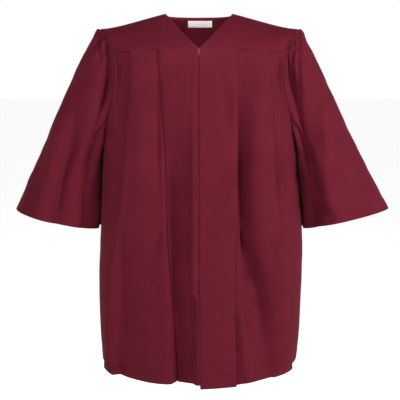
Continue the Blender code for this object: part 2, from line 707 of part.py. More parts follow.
def body_side(side, y, z):
    """How far out the body's cloth lies at a depth and height below the underarm."""
    width = from_table(BODY_ROWS, BODY_COLUMNS, side_name(side), z)
    front = from_table(BODY_ROWS, BODY_COLUMNS, "front", z)
    back = from_table(BODY_ROWS, BODY_COLUMNS, "back", z)
    depth = np.where(y < 0, front, back)
    inside = np.clip(1 - (np.abs(y) / depth) ** SQUARENESS, 0.0, 1.0)
    return width * inside ** (1 / SQUARENESS)


def sleeve_blend(table, turn):
    """Direction round the sleeve: top and underarm ends with a part for its front and back faces."""
    top = (1 + np.cos(turn)) / 2
    face = np.sin(turn)
    made = top[:, None] * np.array(table["top"]) + (1 - top)[:, None] * np.array(table["under"])
    made[:, 0] += np.abs(face) * table["face"][0]
    made[:, 1] += face * table["face"][1]
    made[:, 2] += np.abs(face) * table["face"][2]
    return made / np.linalg.norm(made, axis=1)[:, None]


def cuff_ring(row, turn):
    """Points of the cuff: an ellipse whose inner back quarter is squarer, tilted to face down and out.

    Its inner corners are drawn in, so that it wraps round the body's side.
    """
    cosine = np.cos(turn)
    sine = np.sin(turn)
    power = np.where((cosine < 0) & (sine < 0), 2 / CUFF_INNER_SQUARENESS, 1.0)
    along = row["half_width"] * np.sign(cosine) * np.abs(cosine) ** power
    deep = row["half_depth"] * np.sign(sine) * np.abs(sine) ** power
    lift = row["front_lift"] * np.maximum(sine, 0.0)
    corner = np.where(sine > 0, CUFF_FRONT_WRAP * sine, -CUFF_BACK_WRAP * sine)
    wrap = row["wrap"] * 2 * np.maximum(-cosine, 0.0) * corner
    return np.stack((row["centre"] + along * np.cos(CUFF_TILT) - wrap, -deep,
                     CUFF_Z + along * np.sin(CUFF_TILT) + lift), axis=-1)


def sleeve_surface(side, ring, normal, off, steps):
    """Mid-surface of a sleeve for the right-hand side: cubic curves from armhole to cuff."""
    chord = np.linalg.norm(np.roll(ring, -1, axis=0) - ring, axis=1)
    arc = np.concatenate(([0.0], np.cumsum(chord)[:-1]))
    under = int(np.argmin(ring[:, 2]))
    total = arc[-1] + chord[-1]
    half = arc[under]
    place = np.where(arc <= half, arc / half / 2, 0.5 + (arc - half) / (total - half) / 2)
    turn = 2 * np.pi * place
    cuff_row = dict(zip(CUFF_COLUMNS, [row for row in CUFF_ROWS if row[0] == side][0]))
    leaves = sleeve_blend(SLEEVE_LEAVES, turn)
    flare = (cuff_row["outer_flare"], 0.0, SLEEVE_ARRIVES["top"][2])
    arrives = sleeve_blend({**SLEEVE_ARRIVES, "top": flare}, turn)
    bend = np.clip(np.sum(leaves * off, axis=1), -1.0, 1.0)
    start = ring + off * (ARMHOLE_OFF_EDGE * np.sqrt((1 + bend) / 2))[:, None]
    start = start + normal * (ARMHOLE_OFF_FACE * np.sqrt((1 - bend) / 2))[:, None]
    cuff = cuff_ring(cuff_row, turn)
    size = np.linalg.norm(cuff - start, axis=1)[:, None]
    grid = cubic(start, start + leaves * size * SLEEVE_START_HANDLE,
                 cuff - arrives * size * SLEEVE_END_HANDLE, cuff, steps)
    normals = grid_normals(grid, closed=True)
    steps = np.asarray(steps)[:, None]
    from_top = np.minimum(arc, total - arc)
    wave = np.cos(2 * np.pi * from_top / GATHER_LENGTH) * ease((GATHER_ARC - from_top) / GATHER_FADE)
    uneven = 1 - GATHER_UNEVENNESS * (1 - np.sin(9 * place * np.pi))
    rise = ease(steps / GATHER_START) * (1 - ease((steps - GATHER_START) / GATHER_REACH))
    lift = GATHER_DEPTH * wave * uneven * rise
    for row_side, where, width, depth, begin in SLEEVE_FOLD_ROWS:
        if row_side == side:
            along = ease((steps - begin) / SLEEVE_FOLD_RISE)
            lift = lift + depth * np.exp(-((place - where) / width) ** 2) * along
    grid = grid + normals * lift[:, :, None]
    clear = body_side(side, grid[:, :, 1], grid[:, :, 2]) + SLEEVE_CLEARANCE
    below = grid[:, :, 2] < UNDERARM_Z
    grid[:, :, 0] = np.where(below, np.maximum(grid[:, :, 0], clear), grid[:, :, 0])
    return grid


def sleeve(side, finish):
    ring, normal, off = armhole_ring(side)
    cap = ring[:, 2] > CAP_LOW_Z
    ring, normal, off = (densify(values, cap) for values in (ring, normal, off))
    grid = sleeve_surface(side, ring, normal, off, SLEEVE_STEPS)
    normals = grid_normals(grid, closed=True)
    mirror = np.array((side, 1, 1))
    return wall(f"sleeve_{side_name(side)}", grid * mirror, normals * mirror, CLOTH, finish, closed=True)


def on_grid(grid, rows, columns):
    """Values between the points of a grid, straight along its rows and columns."""
    top = np.clip(np.floor(rows).astype(int), 0, grid.shape[0] - 2)
    left = np.clip(np.floor(columns).astype(int), 0, grid.shape[1] - 2)
    down = (rows - top)[..., None]
    over = (columns - left)[..., None]
    upper = grid[top, left] * (1 - over) + grid[top, left + 1] * over
    lower = grid[top + 1, left] * (1 - over) + grid[top + 1, left + 1] * over
    return upper * (1 - down) + lower * down


def inside_back_yoke(name, places, arcs, thickness, finish):
    """A strip of cloth on the inner side of the back yoke, made from its points, moved in.

    Places are distances from the middle and arcs are lengths down from the neckline.
    """
    grid, normals = back_yoke_grid()[2:]
    columns = np.interp(places, grid[0, :, 0], np.arange(grid.shape[1]))
    length = np.concatenate((np.zeros((1, grid.shape[1])),
                             np.cumsum(np.linalg.norm(np.diff(grid, axis=0), axis=2), axis=0)))
    nearest = np.rint(columns).astype(int)
    rows = np.array([np.interp(arcs, length[:, column], np.arange(len(grid))) for column in nearest]).T
    columns = np.broadcast_to(columns, rows.shape)
    out = on_grid(normals, rows, columns)
    out /= np.linalg.norm(out, axis=2)[:, :, None]
    strip = on_grid(grid, rows, columns) - out * (CLOTH / 2 + SEAM_GAP + thickness / 2)
    return wall(name, strip, out, thickness, finish)


def neck_tape(finish):
    """The narrow band inside the back neckline: the yoke's own first row there, moved in."""
    across, neck, grid, normals = back_yoke_grid()
    inner = np.flatnonzero(np.abs(across) < neck - 1e-6)
    out = normals[:2, inner]
    strip = grid[:2, inner] - out * (CLOTH / 2 + SEAM_GAP + TAPE_THICKNESS / 2)
    return wall("neck_tape", strip, out, TAPE_THICKNESS, finish)


def label(finish):
    """The bare woven label inside the back yoke, below the neck tape."""
    places = LABEL_CENTRE_X + LABEL_WIDTH * np.linspace(-0.5, 0.5, 7)
    arcs = LABEL_TOP + LABEL_HEIGHT * np.linspace(0.0, 1.0, 4)
    return inside_back_yoke("label", places, arcs, LABEL_THICKNESS, finish)


def zip_column(across, fractions, inward):
    """Points on the inner side of the fronts beside the zip, across from the middle."""
    made = []
    for fraction in fractions:
        section = Section(1, "front", fraction)
        line = section.points(np.abs(np.asarray(across)), np.full(len(across), -inward))
        line[:, 0] = across
        made.append(line)
    return np.array(made)


def zip_fractions():
    return [fraction for fraction in front_fractions() if fraction <= fraction_at_centre(ZIP_END_Z) + 1e-9]


def out_of_front(grid):
    return np.broadcast_to(np.array((0.0, -1.0, 0.0)), grid.shape)


def zip_tape(side, finish):
    across = side * np.array((ZIP_TAPE_INNER, ZIP_TAPE_OUTER))
    inward = CLOTH / 2 + SEAM_GAP + TAPE_THICKNESS / 2
    strip = zip_column(across, zip_fractions(), inward)
    strip[0, :, 2] -= TAPE_TOP_DROP
    name = f"zip_tape_{side_name(side)}"
    return wall(name, strip, out_of_front(strip), TAPE_THICKNESS, finish, smooth=False)


def chain_inward():
    return CLOTH / 2 + SEAM_GAP + CHAIN_THICKNESS / 2


def zip_chain(finish):
    """The closed row of teeth as a plain strip between the two tapes."""
    across = np.array((-CHAIN_HALF_WIDTH, CHAIN_HALF_WIDTH))
    strip = zip_column(across, zip_fractions(), chain_inward())
    strip[0, :, 2] = SLIDER_Z + POST_BOTTOM - SEAM_GAP
    strip[-1, :, 2] += STOP_SIZE[2] + SEAM_GAP
    return wall("zip_chain", strip, out_of_front(strip), CHAIN_THICKNESS, finish, smooth=False)


def block(name, low, high, parent=None, finish=None):
    """A box between two corners, in its parent's frame."""
    mesh = bpy.data.meshes.new(name)
    shape = bmesh.new()
    bmesh.ops.create_cube(shape, size=1.0)
    low = np.array(low)
    high = np.array(high)
    for vertex in shape.verts:
        vertex.co = (low + high) / 2 + np.array(vertex.co) * (high - low)
    shape.to_mesh(mesh)
    shape.free()
    if finish:
        mesh.materials.append(finish)
    item = bpy.data.objects.new(name, mesh)
    item.parent = parent
    bpy.context.scene.collection.objects.link(item)
    return item


def plate(name, outline, back, front, parent, finish):
    """A flat plate in its parent's frame: an outline in XZ carried along Y."""
    mesh = bpy.data.meshes.new(name)
    shape = bmesh.new()
    corners = [shape.verts.new((x, back, z)) for x, z in outline]
    face = shape.faces.new(corners)
    grown = bmesh.ops.extrude_face_region(shape, geom=[face])
    moved = [item for item in grown["geom"] if isinstance(item, bmesh.types.BMVert)]
    bmesh.ops.translate(shape, verts=moved, vec=(0.0, front - back, 0.0))
    bmesh.ops.recalc_face_normals(shape, faces=shape.faces)
    shape.to_mesh(mesh)
    shape.free()
    mesh.materials.append(finish)
    item = bpy.data.objects.new(name, mesh)
    item.parent = parent
    bpy.context.scene.collection.objects.link(item)
    return item


def combine(base, tool, operation):
    """Joins or cuts one solid with another, which stays as a hidden tool."""
    tool.hide_render = True
    tool.display_type = "WIRE"
    modifier = base.modifiers.new(operation.title(), "BOOLEAN")
    modifier.operation = operation
    modifier.solver = "EXACT"
    modifier.object = tool


def oval(half_width, half_height):
    """Outline of a superellipse as a list of corners."""
    angle = np.linspace(0.0, 2 * np.pi, OVAL_POINTS, endpoint=False)
    x = half_width * np.sign(np.cos(angle)) * np.abs(np.cos(angle)) ** (2 / OVAL_SQUARENESS)
    z = half_height * np.sign(np.sin(angle)) * np.abs(np.sin(angle)) ** (2 / OVAL_SQUARENESS)
    return list(zip(x.tolist(), z.tolist()))


def front_centre(height):
    """Depth and forward lean of the front's cloth on its centre line at a height."""
    middle = np.zeros(1)
    high = Section(1, "front", fraction_at_centre(FRONT_SEAM_CENTRE_Z)).points(middle, middle)[0, 1]
    low = Section(1, "front", fraction_at_centre(LEAN_Z)).points(middle, middle)[0, 1]
    drop = FRONT_SEAM_CENTRE_Z - LEAN_Z
    lean = np.arctan2(high - low, drop)
    return high + (low - high) * (FRONT_SEAM_CENTRE_Z - height) / drop, lean


def zip_head(metal):
    """The slider with its crown and, on its hinge, the pull tab."""
    depth, lean = front_centre(SLIDER_Z)
    frame = bpy.data.objects.new("zip_head", None)
    frame.location = (0.0, depth, SLIDER_Z)
    frame.rotation_euler = (-lean, 0.0, 0.0)
    bpy.context.scene.collection.objects.link(frame)
    front = -(PLATE_FACE + PLATE_THICKNESS)
    outline = oval(SLIDER_HALF_WIDTH, SLIDER_HALF_HEIGHT)
    slider = plate("zip_slider", outline, -PLATE_FACE, front, frame, metal)
    back_top = PLATE_THICKNESS - BACK_PLATE_FACE
    back_plate = plate("slider_back", outline, -BACK_PLATE_FACE, back_top, frame, metal)
    post = block("slider_post", (-POST_HALF_WIDTH, -PLATE_FACE - JOIN, POST_BOTTOM),
                 (POST_HALF_WIDTH, JOIN - BACK_PLATE_FACE, POST_TOP), frame)
    crown = block("slider_crown", (-CROWN_HALF_WIDTH, -HINGE_OUT - CROWN_TOP, HINGE_UP - CROWN_LEG_OUT),
                  (CROWN_HALF_WIDTH, front + JOIN, HINGE_UP + CROWN_LEG_OUT), frame)
    arch = block("slider_arch", (-2 * CROWN_HALF_WIDTH, -HINGE_OUT - CROWN_TOP / 2, HINGE_UP - CROWN_LEG_IN),
                 (2 * CROWN_HALF_WIDTH, front, HINGE_UP + CROWN_LEG_IN), frame)
    combine(crown, arch, "DIFFERENCE")
    for piece in (post, back_plate, crown):
        combine(slider, piece, "UNION")

    hinge = bpy.data.objects.new("pull_hinge", None)
    hinge.location = (0.0, -HINGE_OUT, HINGE_UP)
    hinge.parent = frame
    bpy.context.scene.collection.objects.link(hinge)
    half = TAB_THICKNESS / 2
    outline = ((-TAB_HALF_WIDTH, half), (TAB_HALF_WIDTH, half),
               (TAB_HALF_WIDTH, TAB_CORNER - TAB_LENGTH), (TAB_HALF_WIDTH - TAB_CORNER, -TAB_LENGTH),
               (TAB_CORNER - TAB_HALF_WIDTH, -TAB_LENGTH), (-TAB_HALF_WIDTH, TAB_CORNER - TAB_LENGTH))
    tab = plate("pull_tab", outline, half, -half, hinge, metal)
    window = block("tab_window", (-WINDOW_HALF_WIDTH, -2 * half, -WINDOW_END),
                   (WINDOW_HALF_WIDTH, 2 * half, -half), hinge)
    combine(tab, window, "DIFFERENCE")


def bottom_stop(metal):
    """The stop that ends the zip, in line with the teeth."""
    section = Section(1, "front", fraction_at_centre(ZIP_END_Z))
    centre = section.points(np.array([0.0]), np.array([-chain_inward()]))[0]
    width, depth, height = STOP_SIZE
    low = centre - np.array((width / 2, depth / 2 - SEAM_GAP / 2, 0.0))
    high = low + np.array((width, depth, height))
    return block("zip_stop", low, high, finish=metal)


def build():
    clear_scene()
    cloth = material("polyester_cloth", POLYESTER, 0.75)
    tape = material("polyester_tape", TAPE_COLOUR, 0.8)
    woven = material("label_satin", LABEL_COLOUR, 0.6)
    metal = material("lacquered_zinc", LACQUER, 0.42)
    for side in (-1, 1):
        front_panel(side, cloth)
        front_yoke(side, cloth)
        sleeve(side, cloth)
        zip_tape(side, tape)
    back_panel(cloth)
    back_yoke(cloth)
    neck_tape(tape)
    label(woven)
    zip_chain(tape)
    bottom_stop(metal)
    zip_head(metal)


build()
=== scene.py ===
"""Looks of a child's graduation gown with a zip down the front, filled out as if worn, with no wearer.

Metres, +Z up. The front faces -Y and +X is the right-hand side seen from the front, which is the
side that names use. The cloth repeats the body rows, yokes and sleeves of the solids far finer and
adds the creases, stitching, hems, zip teeth and weave.
"""

import bmesh
import bpy
import numpy as np
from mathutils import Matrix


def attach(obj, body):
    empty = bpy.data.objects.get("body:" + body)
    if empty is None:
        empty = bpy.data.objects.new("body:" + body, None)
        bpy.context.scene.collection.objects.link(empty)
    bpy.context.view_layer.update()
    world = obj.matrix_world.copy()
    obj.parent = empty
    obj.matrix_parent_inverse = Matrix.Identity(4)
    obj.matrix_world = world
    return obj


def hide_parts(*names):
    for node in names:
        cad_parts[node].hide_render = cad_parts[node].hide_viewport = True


bl_info = {
    "name": "Graduation gown",
    "version": (1, 0, 0),
    "blender": (4, 5, 0),
    "location": "View3D > Sidebar > Gown",
    "description": "Cloth, seams, zip and label of a zip-front graduation gown",
    "category": "Object",
}

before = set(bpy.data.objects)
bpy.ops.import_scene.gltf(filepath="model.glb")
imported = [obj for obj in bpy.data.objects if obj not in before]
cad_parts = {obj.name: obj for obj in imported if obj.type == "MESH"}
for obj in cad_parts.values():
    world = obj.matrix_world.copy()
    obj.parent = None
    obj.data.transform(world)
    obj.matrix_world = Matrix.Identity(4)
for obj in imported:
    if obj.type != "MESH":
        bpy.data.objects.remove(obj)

# Heights of the main seams and of the hem, at the middle of a panel and at its side
FRONT_SEAM_CENTRE_Z = -0.0652
FRONT_SEAM_SIDE_Z = -0.0755
BACK_SEAM_Z = -0.0950
UNDERARM_Z = -0.2350
HEM_CENTRE_Z = -0.7285
HEM_SIDE_Z = -0.7000
BACK_HEM_CENTRE_Z = -0.7080
HEM_BEND = {-1: 2.4, 1: 1.6}
LEFT_HEM_RISE = 0.0070

# Round the body: a superellipse, flatter in front and behind than a circle
SQUARENESS = 2.4
SECTION_SAMPLES = 481
SECTION_CROWDING = 1.4
BODY_COLUMNS = ("height", "left", "right", "front", "back", "armhole")
BODY_ROWS = (
    (-0.0755, 0.1900, 0.1900, 0.0840, 0.0855, 59.6),
    (-0.1340, 0.1900, 0.1900, 0.0900, 0.0925, 58.3),
    (-0.1970, 0.1900, 0.1900, 0.0965, 0.0965, 68.6),
    (-0.2220, 0.1900, 0.1900, 0.0990, 0.0980, 77.2),
    (-0.2350, 0.1905, 0.1910, 0.1000, 0.0985, 90.0),
    (-0.3000, 0.1930, 0.1970, 0.1045, 0.1010, 90.0),
    (-0.3800, 0.1970, 0.2050, 0.1095, 0.1040, 90.0),
    (-0.4450, 0.2000, 0.2095, 0.1135, 0.1070, 90.0),
    (-0.5200, 0.2035, 0.2095, 0.1175, 0.1105, 90.0),
    (-0.5800, 0.2037, 0.2077, 0.1210, 0.1135, 90.0),
    (-0.6500, 0.2018, 0.2053, 0.1250, 0.1175, 90.0),
    (-0.7000, 0.1985, 0.2005, 0.1280, 0.1200, 90.0),
)

# Knife pleats with their folds outwards
PLEAT_COLUMNS = ("height", "left_inner", "left_outer", "right_inner", "right_outer", "space", "back")
PLEAT_ROWS = (
    (-0.0700, 0.0770, 0.1330, 0.0755, 0.1340, 0.0015, 0.012),
    (-0.2700, 0.0670, 0.1500, 0.0740, 0.1480, 0.0026, 0.013),
    (-0.4500, 0.0610, 0.1670, 0.0720, 0.1620, 0.0038, 0.014),
    (-0.5750, 0.0520, 0.1870, 0.0710, 0.1800, 0.0046, 0.015),
    (-0.7250, 0.0440, 0.1935, 0.0740, 0.1900, 0.0054, 0.016),
)
BACK_PLEAT_ROWS = (
    (-0.0700, 0.0500, 0.1120, 0.0500, 0.1120, 0.0015, 0.012),
    (-0.2700, 0.0530, 0.1200, 0.0520, 0.1210, 0.0026, 0.013),
    (-0.4500, 0.0570, 0.1330, 0.0550, 0.1350, 0.0036, 0.014),
    (-0.5750, 0.0620, 0.1450, 0.0590, 0.1460, 0.0044, 0.015),
    (-0.7250, 0.0680, 0.1560, 0.0640, 0.1570, 0.0050, 0.016),
)
FOLD_TURN = 0.45

# Zip opening: half of the gap between the fronts, and how they lap below the zip
ZIP_TOP_HALF_GAP = 0.0013
ZIP_HALF_GAP = 0.0005
ZIP_GAP_CLOSED_Z = -0.0900
ZIP_END_Z = -0.5165
LAP_SUNK_Z = -0.5350
LAP_FULL_Z = -0.5600
LAP_WIDTH = 0.0080
LAP_DEPTH = 0.0018
LAP_BLEND = 0.0200
RIGHT_EDGE_SHIFT = 0.0025

# Shoulders: the ridge that the shoulder seam follows, and the neck
NECK_HALF_WIDTH = 0.0670
BACK_NECK_DEPTH = 0.0550
BACK_NECK_DROP = 0.0060
NECK_DROP_BEND = 0.5
NECK_SQUARENESS = 2.3
RIDGE_COLUMNS = ("across", "height")
RIDGE_ROWS = (
    (0.0670, 0.0000),
    (0.0995, -0.0088),
    (0.1300, -0.0171),
    (0.1600, -0.0248),
    (0.1800, -0.0285),
    (0.1960, -0.0300),
)
FRONT_YOKE_HANDLES = {
    "ridge_neck": (-0.0050, -0.0340, -0.0020),
    "ridge_armhole": (-0.0060, -0.0260, -0.0010),
    "seam_neck": (0.0230, 0.0100, 0.0190),
    "seam_armhole": (0.0050, 0.0060, 0.0230),
}
BACK_YOKE_HANDLES = {
    "ridge_neck": (0.0000, 0.0340, 0.0020),
    "ridge_armhole": (-0.0060, 0.0260, -0.0010),
    "neckline": (0.0000, 0.0120, -0.0260),
    "seam_neck": (0.0000, -0.0040, 0.0320),
    "seam_armhole": (0.0050, -0.0060, 0.0280),
}

# Sleeves: an open ring at the cuff, tilted so that it faces down and out
CUFF_TILT = np.radians(13.8)
CUFF_Z = -0.4085
CUFF_COLUMNS = ("side", "centre", "half_width", "half_depth", "front_lift", "outer_flare", "wrap")
CUFF_ROWS = (
    (-1, 0.2862, 0.0862, 0.0780, 0.0000, 0.42, 0.026),
    (1, 0.2983, 0.0885, 0.0660, 0.0045, 0.54, 0.022),
)
SLEEVE_LEAVES = {
    "top": (0.70, 0.0, -0.71),
    "under": (0.03, 0.0, -1.0),
    "face": (0.35, -0.28, -0.40),
}
SLEEVE_ARRIVES = {
    "top": (0.0, 0.0, -0.9),
    "under": (0.05, 0.0, -1.0),
    "face": (0.0, -0.12, 0.0),
}
SLEEVE_START_HANDLE = 0.14
SLEEVE_END_HANDLE = 0.46
SLEEVE_CLEARANCE = 0.0019
INNER_SQUARENESS = 3.0
FRONT_WRAP = 0.15
BACK_WRAP = 0.5
ARMHOLE_OFF_EDGE = 0.00090
ARMHOLE_OFF_FACE = 0.00150

# Gathers of the sleeve head: place along the armhole from the shoulder, negative behind it, with
# the half width, height and length down the sleeve of each small pleat. All are scaled to widen
# and raise them together. Columns: side, place, width, height, length
GATHER_ROWS = (
    (-1, -0.105, 0.0050, 0.0022, 0.10),
    (-1, -0.084, 0.0045, 0.0030, 0.16),
    (-1, -0.062, 0.0050, 0.0026, 0.12),
    (-1, -0.041, 0.0042, 0.0032, 0.20),
    (-1, -0.022, 0.0045, 0.0028, 0.15),
    (-1, 0.000, 0.0050, 0.0030, 0.12),
    (-1, 0.021, 0.0048, 0.0036, 0.30),
    (-1, 0.044, 0.0055, 0.0044, 0.34),
    (-1, 0.071, 0.0045, 0.0026, 0.14),
    (1, -0.101, 0.0050, 0.0024, 0.12),
    (1, -0.079, 0.0045, 0.0030, 0.16),
    (1, -0.058, 0.0050, 0.0028, 0.14),
    (1, -0.037, 0.0042, 0.0032, 0.20),
    (1, -0.017, 0.0045, 0.0034, 0.16),
    (1, 0.003, 0.0040, 0.0038, 0.14),
    (1, 0.018, 0.0038, 0.0044, 0.24),
    (1, 0.033, 0.0040, 0.0046, 0.30),
    (1, 0.050, 0.0042, 0.0042, 0.34),
    (1, 0.069, 0.0048, 0.0030, 0.16),
)
GATHER_WIDTH = 0.85
GATHER_HEIGHT = 1.6
GATHER_SPREADING = 1.6
GATHER_START = 0.016

# Long folds of the sleeves: place round the sleeve from the shoulder by way of the front, half
# width there, height, and where along the sleeve each begins. Columns: side, place, width, depth, begin
SLEEVE_FOLD_ROWS = (
    (-1, 0.335, 0.040, -0.0040, 0.35),
    (-1, 0.255, 0.045, 0.0040, 0.35),
    (-1, 0.690, 0.050, -0.0070, 0.35),
    (1, 0.372, 0.036, -0.0040, 0.30),
    (1, 0.295, 0.036, 0.0065, 0.25),
    (1, 0.665, 0.050, -0.0070, 0.35),
)

